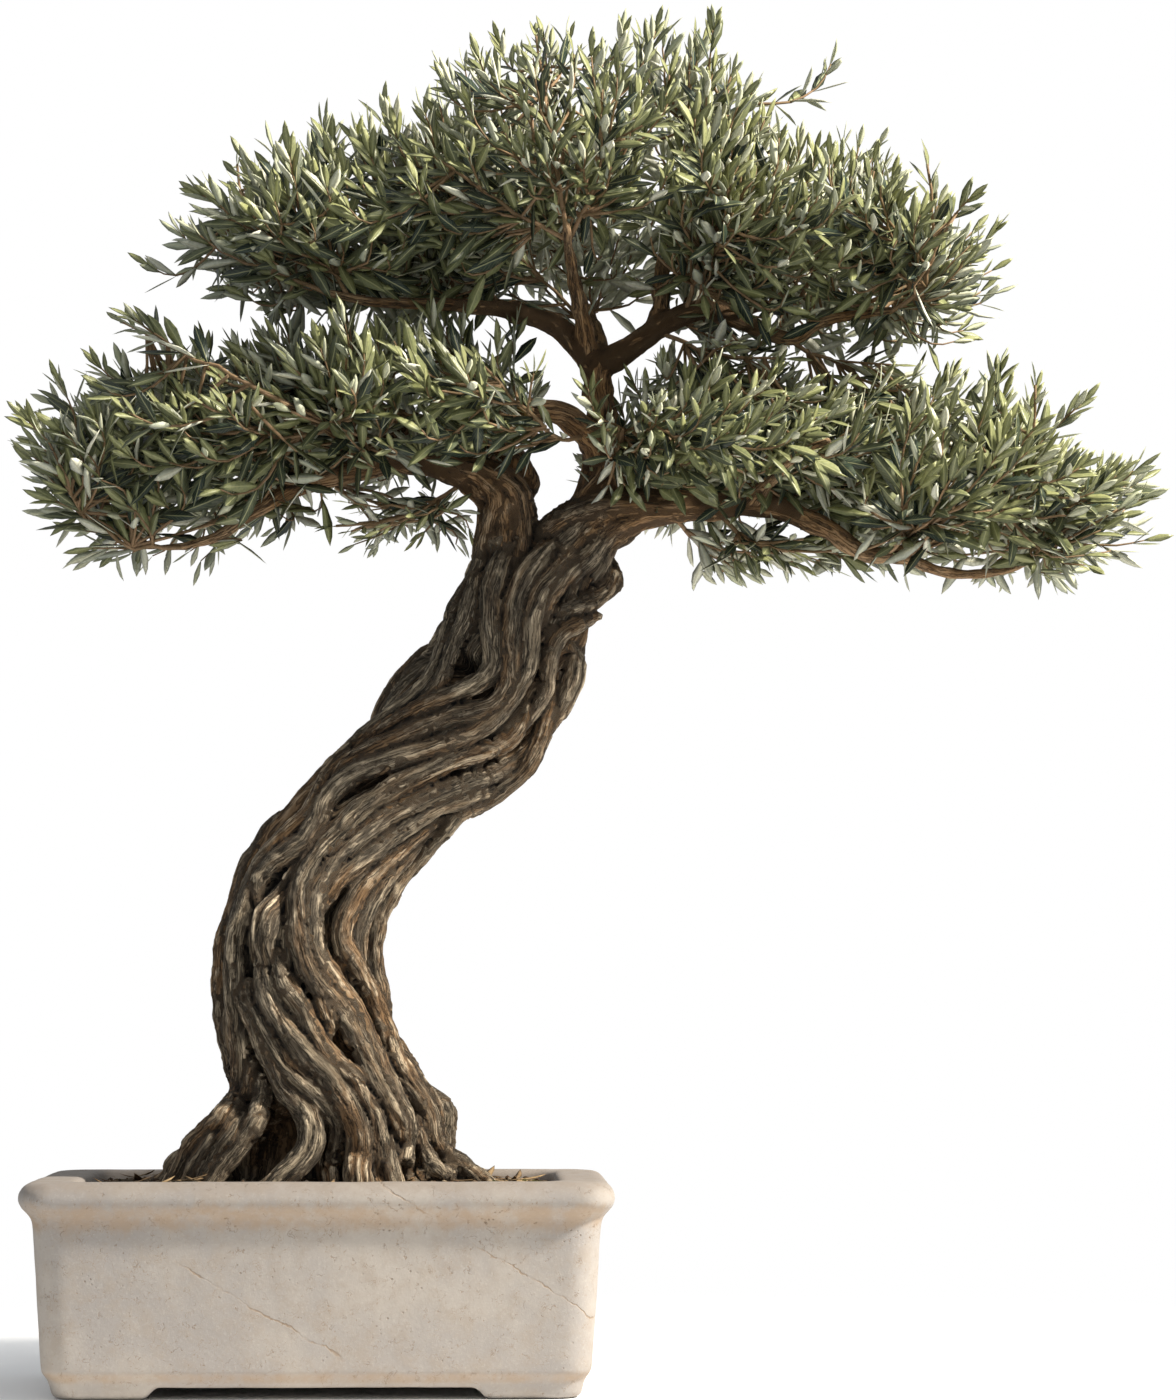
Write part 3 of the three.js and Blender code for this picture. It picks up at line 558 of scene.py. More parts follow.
# Burls and hollows: height, angle there, size out of the trunk, spread.
KNOTS = [
    (646, 8, 19, 16), (589, 4, 10, 12), (346, 246, 26, 17), (547, 236, -15, 10),
    (256, 284, -17, 15), (186, 231, -32, 21),
]
# What the axe and the years left: smaller ones of the same.
SMALL_KNOTS = [
    (547, 236, -16, 6.5), (547, 236, 6, 17), (256, 284, -8, 9), (180, 233, -16, 14),
    (604, 335, 7, 12), (622, 352, -9, 8), (572, 350, -8, 7), (560, 6, 6, 11), (316, 196, 5, 9),
    (452, 300, 5, 12), (404, 262, -7, 8), (372, 300, -7, 9), (300, 318, 5, 11),
    (590, 218, 5, 10), (470, 60, 7, 12), (360, 95, -10, 10), (250, 120, 7, 14),
    (540, 110, 6, 12), (420, 150, 5, 10), (188, 80, -12, 15),
]
# Where a groove opens into a gap between two strands: which groove, height, depth, length.
GAPS = [
    (3, 366, 0.26, 26), (3, 308, 0.22, 22), (3, 475, 0.2, 24), (4, 370, 0.24, 28),
    (4, 262, 0.2, 22), (2, 458, 0.24, 30), (2, 330, 0.14, 24), (5, 432, 0.22, 26),
    (1, 240, 0.2, 24), (6, 330, 0.2, 30), (7, 430, 0.2, 30), (8, 280, 0.2, 30), (0, 400, 0.16, 30),
    (3, 560, 0.14, 30), (4, 520, 0.16, 30),
]
# The ropes of wood that wind up the front, from the roots: x, z, radius, how deep it lies.
BANDS = [
    [(-116, 150, 9), (-104, 172, 10), (-95, 187, 11), (-83, 199, 11), (-71, 212, 10), (-63, 228, 9),
     (-61, 246, 9), (-62, 268, 9), (-65, 290, 9), (-66, 310, 9), (-67, 336, 8), (-64, 356, 8),
     (-59, 373, 8), (-53, 390, 8), (-45, 405, 8), (-35, 418, 8), (-21, 431, 8), (-8, 444, 8),
     (0, 461, 8), (10, 479, 8), (25, 496, 8), (41, 510, 8), (56, 522, 8), (72, 534, 8),
     (85, 548, 8), (93, 565, 9), (100, 585, 9), (103, 600, 9), (111, 615, 9), (121, 632, 9),
     (126, 650, 8), (125, 668, 6)],
    [(-40, 150, 11), (-28, 163, 10), (-17, 173, 10.5), (-9, 183, 10.5), (-6, 196, 10.5),
     (-8, 208, 10.5), (-16, 219, 10), (-26, 230, 9.5), (-33, 244, 9), (-40, 258, 9), (-47, 275, 9),
     (-55, 290, 8), (-62, 305, 7), (-66, 320, 6)],
    [(8, 150, 7, 16), (10, 176, 8, 14), (14, 190, 8, 12), (14, 203, 8, 8), (8, 214, 8, 4),
     (-3, 226, 8), (-15, 238, 8), (-27, 250, 8), (-36, 265, 8), (-46, 283, 8), (-54, 298, 7),
     (-57, 315, 6)],
    [(31, 148, 12), (29, 164, 11.5), (30, 178, 11), (31, 192, 11), (28, 204, 11), (23, 215, 11),
     (15, 228, 11), (5, 241, 11), (-8, 254, 11), (-20, 268, 11), (-32, 284, 10), (-40, 301, 10),
     (-44, 318, 9), (-46, 333, 8)],
    [(52, 150, 9), (46, 166, 8.5), (47, 180, 8), (45, 195, 8), (42, 208, 8), (36, 220, 8),
     (29, 232, 8), (22, 242, 8), (12, 251, 8), (2, 263, 8), (-6, 277, 8), (-14, 292, 8),
     (-25, 308, 8), (-31, 324, 7), (-32, 338, 6)],
    [(62, 178, 7), (63, 192, 8), (60, 207, 9), (53, 221, 9), (45, 235, 9), (37, 250, 9),
     (30, 264, 9), (23, 279, 9), (14, 293, 9.5), (3, 306, 10), (-7, 320, 10), (-13, 336, 10),
     (-16, 350, 10), (-18, 364, 9.5), (-17, 380, 9.5), (-11, 397, 9.5), (0, 413, 9.5),
     (14, 428, 9.5), (28, 442, 9.5), (45, 455, 9), (65, 466, 9), (85, 476, 9), (105, 485, 8.5),
     (125, 491, 8), (143, 500, 8), (154, 514, 8), (160, 528, 7)],
    [(66, 174, 6), (66, 186, 7), (67, 200, 7), (62, 214, 8), (55, 228, 8), (48, 242, 8),
     (42, 256, 8), (36, 270, 8), (29, 286, 8), (20, 300, 8), (10, 313, 8), (2, 326, 8),
     (-4, 340, 8), (-6, 355, 8), (-6, 368, 8), (-3, 380, 8), (4, 395, 8), (13, 408, 8),
     (26, 421, 8), (43, 435, 8), (62, 446, 8), (82, 455, 8), (103, 464, 8), (125, 472, 8),
     (145, 483, 8), (158, 495, 8), (166, 508, 7)],
    [(122, 150, 8), (104, 168, 9), (93, 182, 9), (85, 196, 9), (82, 211, 9), (74, 226, 9),
     (65, 240, 9), (58, 254, 8), (52, 269, 8), (46, 284, 8), (40, 299, 8), (33, 313, 8),
     (25, 327, 8), (17, 341, 8), (16, 355, 8), (22, 370, 8), (30, 385, 7.5), (42, 398, 7),
     (55, 410, 7), (66, 420, 7), (79, 431, 7), (93, 441, 6)],
    [(94, 182, 6), (90, 196, 7), (88, 210, 7), (82, 224, 7), (73, 238, 7), (64, 250, 5)],
    [(51, 278, 5), (48, 293, 7), (45, 308, 7), (41, 322, 7), (40, 338, 7), (42, 352, 7.5),
     (46, 366, 7.5), (52, 378, 7.5), (60, 391, 7.5), (70, 405, 8), (82, 419, 8), (94, 432, 8),
     (106, 444, 8), (122, 452, 8), (139, 463, 8), (152, 474, 8), (163, 488, 8), (169, 503, 8),
     (174, 518, 8), (178, 533, 8), (184, 547, 7)],
    [(32, 318, 6), (30, 332, 7), (29, 347, 7), (33, 362, 7), (40, 377, 7), (49, 391, 7),
     (60, 404, 6.5), (70, 415, 6), (80, 426, 5)],
    [(-2, 362, 5), (5, 376, 7), (13, 390, 8), (25, 402, 8), (40, 413, 8), (56, 425, 8),
     (73, 437, 8), (92, 448, 8), (112, 456, 8), (131, 463, 7.5), (148, 472, 7), (158, 484, 6)],
    [(-46, 366, 7), (-50, 382, 9), (-46, 394, 9), (-36, 404, 9), (-24, 412, 9), (-12, 421, 9),
     (-4, 434, 9), (1, 448, 8.5), (9, 461, 8.5), (23, 472, 8.5), (43, 480, 8.5), (66, 487, 8.5),
     (89, 494, 8.5), (110, 502, 8.5), (127, 512, 8.5), (140, 525, 8.5), (150, 540, 8.5),
     (158, 556, 8.5), (160, 575, 8.5), (162, 595, 8.5), (168, 612, 9), (180, 628, 9), (197, 643, 9),
     (216, 655, 9), (240, 665, 8)],
    [(-22, 428, 6), (-10, 440, 7), (-1, 453, 7.5), (6, 468, 7.5), (17, 480, 8), (33, 489, 8),
     (54, 498, 8), (76, 508, 8), (97, 516, 8), (118, 521, 8), (133, 527, 8), (142, 540, 8),
     (145, 556, 8), (145, 574, 8.5), (147, 592, 8.5), (150, 610, 8.5), (157, 626, 9), (168, 641, 9),
     (182, 657, 9), (198, 673, 9)],
    [(14, 485, 6), (28, 496, 7), (46, 507, 7.5), (66, 518, 8), (88, 529, 8), (108, 537, 8),
     (124, 546, 8), (132, 560, 8.5), (131, 578, 9), (130, 596, 9.5), (131, 614, 10), (136, 632, 10),
     (143, 648, 10), (146, 662, 9)],
    [(60, 516, 6), (76, 528, 7), (90, 543, 7), (97, 560, 6.5), (104, 578, 8), (112, 594, 9),
     (117, 612, 9.5), (122, 630, 9), (130, 646, 8)],
    [(178, 508, 5), (184, 522, 7), (190, 536, 8), (195, 550, 9), (197, 564, 9), (192, 578, 6)],
    [(146, 500, 6), (156, 512, 7), (166, 526, 7), (173, 541, 7), (175, 556, 7), (178, 571, 7),
     (185, 583, 7), (197, 591, 7), (209, 597, 6.5), (218, 598, 3.5)],
    [(170, 585, 7), (172, 602, 8), (181, 619, 8), (194, 635, 8), (212, 649, 8), (234, 661, 8),
     (252, 673, 6)],
    [(180, 598, 7), (195, 605, 8), (210, 612, 9), (221, 621, 9), (228, 634, 8)],
    [(-102, 150, 9), (-92, 172, 9), (-80, 190, 9), (-68, 206, 9), (-60, 225, 8), (-56, 244, 7)],
    [(-94, 150, 9), (-84, 168, 10), (-74, 184, 10), (-64, 198, 10), (-56, 214, 10), (-54, 232, 9),
     (-52, 252, 7)],
    [(-86, 152, 8), (-76, 168, 8), (-66, 181, 8, 2), (-56, 194, 9, 2), (-48, 208, 9), (-45, 224, 8),
     (-46, 242, 7)],
    [(112, 150, 6), (101, 160, 7), (89, 169, 7), (80, 181, 7), (75, 195, 7), (72, 209, 7)],
    [(75, 150, 7), (68, 163, 7), (66, 177, 7), (66, 192, 6)],
    [(136, 151, 6), (121, 162, 7), (107, 173, 7), (92, 187, 6)],
    [(60, 150, 7), (58, 161, 7), (55, 173, 6.5), (54, 187, 6), (56, 201, 6)],
    [(-30, 366, 5, 6), (-28, 384, 5.5, 5), (-20, 398, 5.5, 5), (-10, 411, 5, 5), (-3, 425, 4.5, 5)],
    [(-6, 316, 5, 2), (-1, 303, 6.5), (4, 291, 7.5), (8, 280, 7), (9, 270, 4)],
]
LIMBS = {
    "left_limb": [
        (150, -4, 603, 23), (143, -6, 642, 27), (143, -8, 669, 24), (140, -10, 690, 22),
        (126, -13, 703, 18), (106, -15, 711, 14), (81, -17, 717, 11), (52, -20, 718, 9.5),
        (22, -25, 708, 8.2), (-13, -31, 698, 7), (-49, -38, 679, 5.6), (-80, -44, 657, 4.2),
        (-110, -48, 647, 2.8),
    ],
    "left_upper": [
        (142, 4, 686, 17), (149, 12, 711, 14), (140, 22, 729, 11), (116, 34, 741, 8),
        (90, 45, 753, 6.4), (58, 56, 765, 5), (22, 66, 775, 4), (-14, 74, 782, 2.8),
    ],
    "left_front": [
        (36, -22, 713, 7), (20, -54, 728, 5), (-4, -86, 742, 3.8), (-34, -112, 754, 2.6),
    ],
    "left_back": [(0, -27, 703, 7), (-22, 8, 712, 5), (-54, 46, 716, 3.8), (-92, 76, 722, 2.6)],
    "right_limb": [
        (163, 0, 595, 27), (178, 0, 631, 34), (196, -2, 654, 33), (216, -4, 673, 26),
        (247, -8, 682, 16.5), (274, -12, 684, 13.3), (301, -16, 684, 11.7), (342, -22, 685, 10.9),
        (368, -26, 676, 9.3), (396, -30, 662, 7.8), (423, -33, 645, 6.4), (451, -36, 647, 5.2),
        (483, -40, 658, 4.2), (513, -44, 669, 2.8),
    ],
    "right_lower": [
        (423, -33, 645, 4.8), (458, -20, 642, 4.4), (490, -5, 633, 4), (533, 12, 636, 3.4),
        (568, 26, 651, 2.6),
    ],
    "right_front": [
        (330, -20, 685, 7), (346, -54, 700, 5), (362, -86, 714, 3.8), (388, -112, 724, 2.6),
    ],
    "right_back": [
        (306, -17, 684, 7), (322, 18, 698, 5.4), (348, 58, 708, 4.2), (386, 96, 716, 2.6),
    ],
    "leader": [
        (200, 0, 654, 24), (215, 3, 686, 22), (219, 6, 714, 17.5), (216, 8, 738, 15),
        (218, 8, 760, 12.6), (215, 6, 781, 11.8), (214, 3, 801, 11.5),
    ],
    "snag": [(218, 2, 725, 11), (206, -14, 741, 11), (182, -34, 755, 9.3), (154, -52, 756, 7.7)],
    "crown_left": [
        (214, 3, 796, 10.2), (197, -6, 813, 9.4), (183, -14, 825, 8.6), (165, -22, 831, 7.8),
        (141, -30, 836, 7), (110, -40, 837, 5.8), (79, -50, 837, 4.6), (41, -60, 837, 3.8),
        (2, -68, 843, 2.8),
    ],
    "crown_left_back": [
        (150, -27, 834, 6.5), (128, 10, 848, 5.2), (98, 50, 858, 4), (62, 88, 870, 2.6),
    ],
    "crown_right": [
        (214, 3, 798, 11), (234, 0, 807, 10.2), (257, -4, 823, 9.4), (281, -9, 836, 8.6),
        (301, -14, 839, 7.8), (327, -20, 828, 7), (365, -28, 815, 5.6), (386, -34, 827, 4.8),
        (412, -42, 831, 3.8), (442, -50, 834, 2.8),
    ],
    "crown_right_back": [
        (310, -16, 836, 6.5), (330, 18, 845, 5.2), (358, 56, 855, 4), (392, 90, 866, 2.6),
    ],
    "crown_upright": [
        (260, -3, 822, 7.5), (264, 4, 845, 7.1), (264, 12, 866, 6.3), (270, 24, 894, 4.8),
        (282, 38, 925, 3.8), (292, 50, 954, 2.8),
    ],
    "crown_front": [
        (206, -2, 806, 7.5), (200, -38, 834, 6), (192, -76, 862, 4.6), (186, -112, 890, 3),
    ],
    "crown_back": [(218, 5, 800, 7.5), (214, 42, 830, 6), (206, 82, 858, 4.6), (200, 120, 884, 3)],
}
TRUNK_RINGS = 330
FLARE_TOP = 260  # from here down, the trunk widens into its roots
FLARE_HEIGHT = 110
NARROWEST = 0.3  # share of the trunk's half width that the deepest groove leaves
BAND_SHARE = 0.62  # of its radius that a rope of wood lies in the trunk
BAND_THICK = 20  # it is coloured as wood of this radius
RUNNING_OUT = [(0.5, 1.5), (0.85, 0.55), (1, 0)]  # radius and depth from a rope's end inwards
SOIL_HIDES = 175  # ropes that end below this height needn't run out
BACK_TOP = 450  # where the ropes of the front have no like at the back any more
BACK_ROPES = (-0.84, -0.52, -0.2, 0.14, 0.48, 0.82)  # ropes above it, as shares of half the width
BACK_ROPE = 9.5
BACK_END = 650
ROPE_KNOBS = 0.45  # ropes are less knobbly than limbs, by this share
LIMB_STRANDS = 6
LIMB_STRANDED = 0.66  # share of a limb's length that strands cover
STRAND_STEPS = 14
STRAND_SIDES = 24
WOOD_CELL = 1.65  # size of the faces of the skin that covers trunk and limbs
WOOD_TRIANGLES = 195000
LIMB_CELL = 4
LIMB_OVER = 0.25  # how far a limb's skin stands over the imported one


def unit(vectors):
    return vectors / np.linalg.norm(vectors, axis=-1, keepdims=True)


def dots(first, second):
    return (first * second).sum(axis=-1)


def spine(points, shares):
    """Places and directions along a smooth line through points, at shares of its length."""
    points = np.array([point[:3] for point in points], float)
    ends = np.vstack([2 * points[0] - points[1], points, 2 * points[-1] - points[-2]])
    along = np.clip(shares, 0, 1) * (len(points) - 1)
    first = np.minimum(along.astype(int), len(points) - 2)
    part = (along - first)[:, None]
    before, start, end, after = (ends[first + step] for step in range(4))
    leave, arrive = (end - before) / 2, (after - start) / 2
    square = 3 * (end - start) - 2 * leave - arrive
    cube = 2 * (start - end) + leave + arrive
    where = start + leave * part + square * part ** 2 + cube * part ** 3
    return where, unit(leave + 2 * square * part + 3 * cube * part ** 2)


def column(points, shares, index):
    """One column of a list of points, at shares of its length."""
    steps = np.arange(len(points))
    values = [point[index] for point in points]
    return np.interp(np.asarray(shares) * (len(points) - 1), steps, values)


def waves(along, *each):
    """Waves added up, each given by its size, its length and where it begins."""
    return sum(size * np.sin(along / long + start) for size, long, start in each)


def skin(rings):
    """Corners and faces of a closed skin over rings, each with its points in turn."""
    count, sides = rings.shape[:2]
    here = np.arange(count * sides).reshape(count, sides)
    beside = np.roll(here, -1, axis=1)
    faces = np.stack([here[:-1], beside[:-1], beside[1:], here[1:]], axis=-1).reshape(-1, 4)
    return rings.reshape(-1, 3), faces.tolist() + [here[0][::-1].tolist(), here[-1].tolist()]


def carve(radius, z, angle, knots):
    """Adds each knot's bulge or hollow to the radii of the trunk's rings."""
    grown = radius.copy()
    for at, turn, out, spread in knots:
        across = np.radians((angle - turn + 180) % 360 - 180) * radius
        grown += out * np.exp(-(((z - at) / 1.3) ** 2 + across ** 2) / spread ** 2)
    return grown


shares = np.linspace(0, 1, TRUNK_RINGS)
trunk_middle, trunk_ahead = spine(TRUNK, shares)
trunk_deep = unit(np.array([0, 1, 0]) - trunk_ahead * trunk_ahead[:, 1:2])
trunk_wide = np.cross(trunk_deep, trunk_ahead)
half_width, half_depth = column(TRUNK, shares, 3), column(TRUNK, shares, 4)
level_z = trunk_middle[:, 2]
spread_out = np.clip((FLARE_TOP - level_z) / FLARE_HEIGHT, 0, 1)
flare = spread_out ** 2 * (3 - 2 * spread_out)
trunk_turn = np.interp(level_z, [row[0] for row in TWIST], [row[1] for row in TWIST])
across = np.arange(STRAND_SIDES) / STRAND_SIDES
rings = []
for index, (groove, _, reach) in enumerate(STRANDS):
    following = (index + 1) % len(STRANDS)
    next_groove = STRANDS[following][0] + (360 if following == 0 else 0)
    wander = [
        waves(level_z, (6, 33, at * 2.1), (2.4, 13, at * 4.7))[:, None]
        for at in (index, following)]
    turned = (groove + wander[0]) * (1 - across) + (next_groove + wander[1]) * across
    angle = turned + trunk_turn[:, None]
    cosine, sine = np.cos(np.radians(angle)), np.sin(np.radians(angle))
    deepening = 1.5 + 0.5 * flare
    grooves = [STRANDS[at][1] * deepening + sum(
        deeper * np.exp(-((level_z - z) / long) ** 2) for groove_here, z, deeper, long in GAPS
        if groove_here == at) for at in (index, following)]
    valley = 1 - grooves[0][:, None] * (1 - across) - grooves[1][:, None] * across
    valley = np.maximum(valley, NARROWEST)
    bulge = np.sin(np.pi * across) ** (0.52 + 0.55 * flare)[:, None]
    sway = waves(level_z, (2.6, 46, index), (1.1, 17, 3 * index))[:, None]
    cords = 0.05 * np.sin(6 * np.pi * across + sway) * np.sin(np.pi * across)
    swell = (0.035 * np.sin(level_z / 38 + index * 2.3) * (1 - flare))[:, None]
    stretch = np.hypot(cosine / half_width[:, None], sine / half_depth[:, None])
    radius = (valley * (1 - bulge) + (reach + swell + cords) * bulge) / stretch
    covered = (0.2 + 0.02 * flare)[:, None] * np.abs(sine)
    radius = radius * (1 - 0.22 * flare[:, None] - covered)
    radius = carve(radius, level_z[:, None], angle, KNOTS + SMALL_KNOTS)
    rings.append(
        trunk_middle[:, None] + trunk_wide[:, None] * (radius * cosine)[..., None]
        + trunk_deep[:, None] * (radius * sine)[..., None])
wood_corners, wood_faces = skin(np.concatenate(rings, axis=1))


def frames(ahead):
    """Two directions across each step of a line, which don't turn about it."""
    wide = [np.cross([0, 0, 1] if abs(ahead[0][2]) < 0.9 else [1, 0, 0], ahead[0])]
    for direction in ahead:
        wide.append(unit(wide[-1] - direction * np.dot(wide[-1], direction)))
    wide = np.array(wide[1:])
    return wide, np.cross(ahead, wide)


def tube(middle, ahead, radius, sides):
    """Rings of a round tube whose radius changes along its line, and round it."""
    wide, deep = frames(ahead)
    angle = 2 * np.pi * np.arange(sides) / sides
    radius = np.asarray(radius).reshape(len(middle), -1, 1)
    return middle[:, None] + radius * (
        wide[:, None] * np.cos(angle)[:, None] + deep[:, None] * np.sin(angle)[:, None])


def on_bark(x, z, girth, deeper, side):
    """A point of a rope on the trunk's front, or of its like at the back, and its radius."""
    if side > 0:
        x = 2 * trunk_middle[np.abs(level_z - z).argmin()][0] - x
    offset = np.array([x, 0, z]) - trunk_middle * np.array([1, 0, 1])
    ring = (np.abs(dots(offset, trunk_ahead)) + 0.2 * np.linalg.norm(offset, axis=1)).argmin()
    room = half_width[ring] - BAND_SHARE * girth
    aside = np.dot(offset[ring], trunk_wide[ring])
    if side > 0:
        x += (min(max(aside, -room), room) - aside) * trunk_wide[ring][0]
    depth = half_depth[ring] - BAND_SHARE * girth - deeper
    depth *= math.sqrt(max(0.04, 1 - (aside / room) ** 2))
    return x, trunk_middle[ring][1] + side * depth, z, girth


# Each limb swells where it leaves its parent, and knobs of old pruning stand along it.
MAIN_LIMBS = ("left_limb", "right_limb", "leader")
ropes = {}
for order, points in enumerate(BANDS):
    for side in (-1, 1):
        rope = []
        lying = [point for point in points if side < 0 or point[1] < BACK_TOP]
        for step, (x, z, radius, *deeper) in enumerate(lying):
            from_end = min(step, len(lying) - 1 - step) if z > SOIL_HIDES else 2
            thinner, sunk = RUNNING_OUT[min(from_end, 2)]
            rope.append(on_bark(x, z, radius * thinner, sunk * radius + sum(deeper), side))
        if len(rope) > 2:
            ropes[f"band_{order}_{side}"] = rope
high_up = np.flatnonzero((level_z > BACK_TOP - 50) & (level_z < BACK_END))[::6]
for order, share in enumerate(BACK_ROPES):
    rope = []
    for step, ring in enumerate(high_up):
        thinner, sunk = RUNNING_OUT[min(step, len(high_up) - 1 - step, 2)]
        radius = BACK_ROPE + 1.5 * math.sin(0.5 * step + 2 * order)
        aside = share + 0.13 * math.sin(0.45 * step + 1.7 * order)
        depth = half_depth[ring] - (BAND_SHARE + sunk) * radius
        spot_here = trunk_middle[ring] + half_width[ring] * aside * trunk_wide[ring]
        spot_here = spot_here + np.array([0, depth * math.sqrt(max(0.04, 1 - aside ** 2)), 0])
        rope.append((*spot_here, radius * thinner))
    ropes[f"back_{order}"] = rope
STRANDED = ("left_limb", "right_limb", "leader", "crown_left", "crown_right")
for name in STRANDED:
    shares = np.linspace(0, LIMB_STRANDED, STRAND_STEPS)
    middle, ahead = spine(LIMBS[name], shares)
    girth = column(LIMBS[name], shares, 3)
    thin = girth * np.interp(shares, [0, 0.45, LIMB_STRANDED], [0.34, 0.3, 0.12])
    wide, deep = frames(ahead)
    for strand in range(LIMB_STRANDS):
        turn = 2 * math.pi * strand / LIMB_STRANDS + 2.2 * shares
        turn = (turn + 0.3 * np.sin(11 * shares + 2 * strand))[:, None]
        line = middle + 0.72 * girth[:, None] * (wide * np.cos(turn) + deep * np.sin(turn))
        ropes[f"{name}_strand_{strand}"] = [(*spot_here, at) for spot_here, at in zip(line, thin)]

axes = []
for order, (name, points) in enumerate({**LIMBS, **ropes}.items()):
    length = np.linalg.norm(np.diff([point[:3] for point in points], axis=0), axis=1).sum()
    steps = max(8, round(length / LIMB_CELL))
    shares = np.linspace(0, 1, steps)
    middle, ahead = spine(points, shares)
    girth = column(points, shares, 3)
    if name in STRANDED:
        girth = girth * np.interp(shares, [0, 0.5, 0.7], [0.84, 0.9, 1])
    travelled = shares * length
    grafted = name in MAIN_LIMBS or name in ropes
    collar = 0 if grafted else 0.4 * np.exp(-(travelled / (2.2 * girth[0])) ** 2)
    sides = 22 if girth[0] > 13 else 16
    turn = 2 * np.pi * np.arange(sides) / sides
    knobs = 0.14 * np.sin(travelled / 9.5 + order)[:, None] * np.cos(turn + travelled[:, None] / 14)
    knobs = knobs + 0.1 * np.sin(travelled / 4.1 + 2 * order)[:, None] * np.sin(2 * turn - order)
    knobs = knobs * (ROPE_KNOBS if name in ropes else 1)
    radius = (girth * (1 + collar) + LIMB_OVER)[:, None] * (1 + knobs)
    corners, faces = skin(tube(middle, ahead, radius, sides))
    wood_faces += [[corner + len(wood_corners) for corner in face] for face in faces]
    wood_corners = np.vstack([wood_corners, corners])
    kept = slice(None, None, 2 if name in ropes else 1)
    thick = np.full(steps, BAND_THICK) if name in ropes else girth * 0.62
    if "strand" in name:
        thick = girth * 1.8
    axes.append(tuple(
        values[kept] for values in (middle, ahead, girth, travelled + 700 * (order + 1), thick)))

deselect_all()
origin = np.array(place(0, 0, 0))
mesh = bpy.data.meshes.new("olive_wood")
mesh.from_pydata(wood_corners * MM + origin, [], wood_faces)
wood = bpy.data.objects.new("olive_wood", mesh)
bpy.context.scene.collection.objects.link(wood)
wood.select_set(True)
apply_modifier(wood, "REMESH", mode="VOXEL", voxel_size=WOOD_CELL * MM)
apply_modifier(wood, "SMOOTH", factor=0.5, iterations=2)


def vectors(values, field):
    """A vector of each corner of a mesh, read in one go."""
    flat = np.empty(3 * len(values), np.float32)
    values.foreach_get(field, flat)
    return flat.reshape(-1, 3)


def corners_of(piece):
    return vectors(piece.data.vertices, "co")


def outward(piece):
    return vectors(piece.data.vertex_normals, "vector")


# Every point of the skin is given its place on the straightened wood, as if the trunk had been
# untwisted and each limb laid out straight, so that the grain runs along the strands.
# The relief of the bark along the grain: size across it, size along it, how often it is refined.
SPLITS = (13, 120, 2)
PLATES = (7, 70, 3)
FIBRES = (3.2, 42, 2)
WAVERING = (5, 5, 8)  # how far the grain strays, across and along
ROOT_GRAIN = 72  # past this distance from the middle, the grain runs outwards along the roots
TRUNK_GIRTH = 58  # the whole trunk is marked as wood of this radius
BLOCK = 3000  # corners worked on at a time, to spare memory
DEEPEST, HIGHEST = -3.6, 2  # how far the grain may sink into the wood, and stand out of it
trunk_far = np.concatenate([[0], np.cumsum(np.linalg.norm(np.diff(trunk_middle, axis=0), axis=1))])
limb_middle, limb_ahead = (np.vstack([axis[at] for axis in axes]) for at in (0, 1))
limb_girth, limb_far, limb_thick = (np.concatenate([axis[at] for axis in axes]) for at in (2, 3, 4))
limb_wide, limb_deep = (np.vstack([frames(axis[1])[at] for axis in axes]) for at in (0, 1))


def straightened(corners):
    """For each corner in mm: its place on the straightened wood, and the girth there."""
    offset = corners[:, None] - trunk_middle[::2]
    level = np.abs(dots(offset, trunk_ahead[::2]))
    level[np.linalg.norm(offset, axis=2) > 2.4 * half_width[::2]] = 1000
    ring = 2 * level.argmin(axis=1)
    offset = corners - trunk_middle[ring]
    x, y = dots(offset, trunk_wide[ring]), dots(offset, trunk_deep[ring])
    out = np.hypot(x, y)
    trunk_reach = np.hypot(x / half_width[ring], y / half_depth[ring]) + (level.min(axis=1) > 30)
    trunk_along = trunk_far[ring] + dots(offset, trunk_ahead[ring])
    trunk_angle = np.arctan2(y, x) - np.radians(np.interp(trunk_along, trunk_far, trunk_turn))
    trunk_along = trunk_along - 0.8 * np.maximum(0, out - ROOT_GRAIN)
    reach = np.linalg.norm(corners[:, None] - limb_middle, axis=2) / (limb_girth + 1.5)
    nearest = reach.argmin(axis=1)
    offset = corners - limb_middle[nearest]
    limb_angle = np.arctan2(dots(offset, limb_deep[nearest]), dots(offset, limb_wide[nearest]))
    across_grain = np.stack([np.cos(trunk_angle), np.sin(trunk_angle), trunk_along / 900], axis=1)
    straggle = np.array([noise.noise(spot_here) for spot_here in (across_grain * 17).tolist()])
    on_trunk = trunk_reach < reach.min(axis=1) - 0.04 + 0.3 * straggle
    angle = np.where(on_trunk, trunk_angle, limb_angle)
    girth = np.where(on_trunk, TRUNK_GIRTH, limb_girth[nearest])
    limb_along = limb_far[nearest] + dots(offset, limb_ahead[nearest])
    along = np.where(on_trunk, trunk_along, limb_along)
    thick = np.where(on_trunk, TRUNK_GIRTH, limb_thick[nearest])
    return np.stack([girth * np.cos(angle), girth * np.sin(angle), along], axis=1), thick


noise.seed_set(1)  # noise_vector would start somewhere else on every run without it


def ridged(places, across, along, octaves):
    """Long fibres with sharp valleys, from 0 in a valley to about 1 on a ridge."""
    scaled = places / np.array([across, across, along])
    return np.array([
        noise.ridged_multi_fractal(spot_here, 0.9, 2.1, octaves, 1, 2)
        for spot_here in scaled.tolist()])


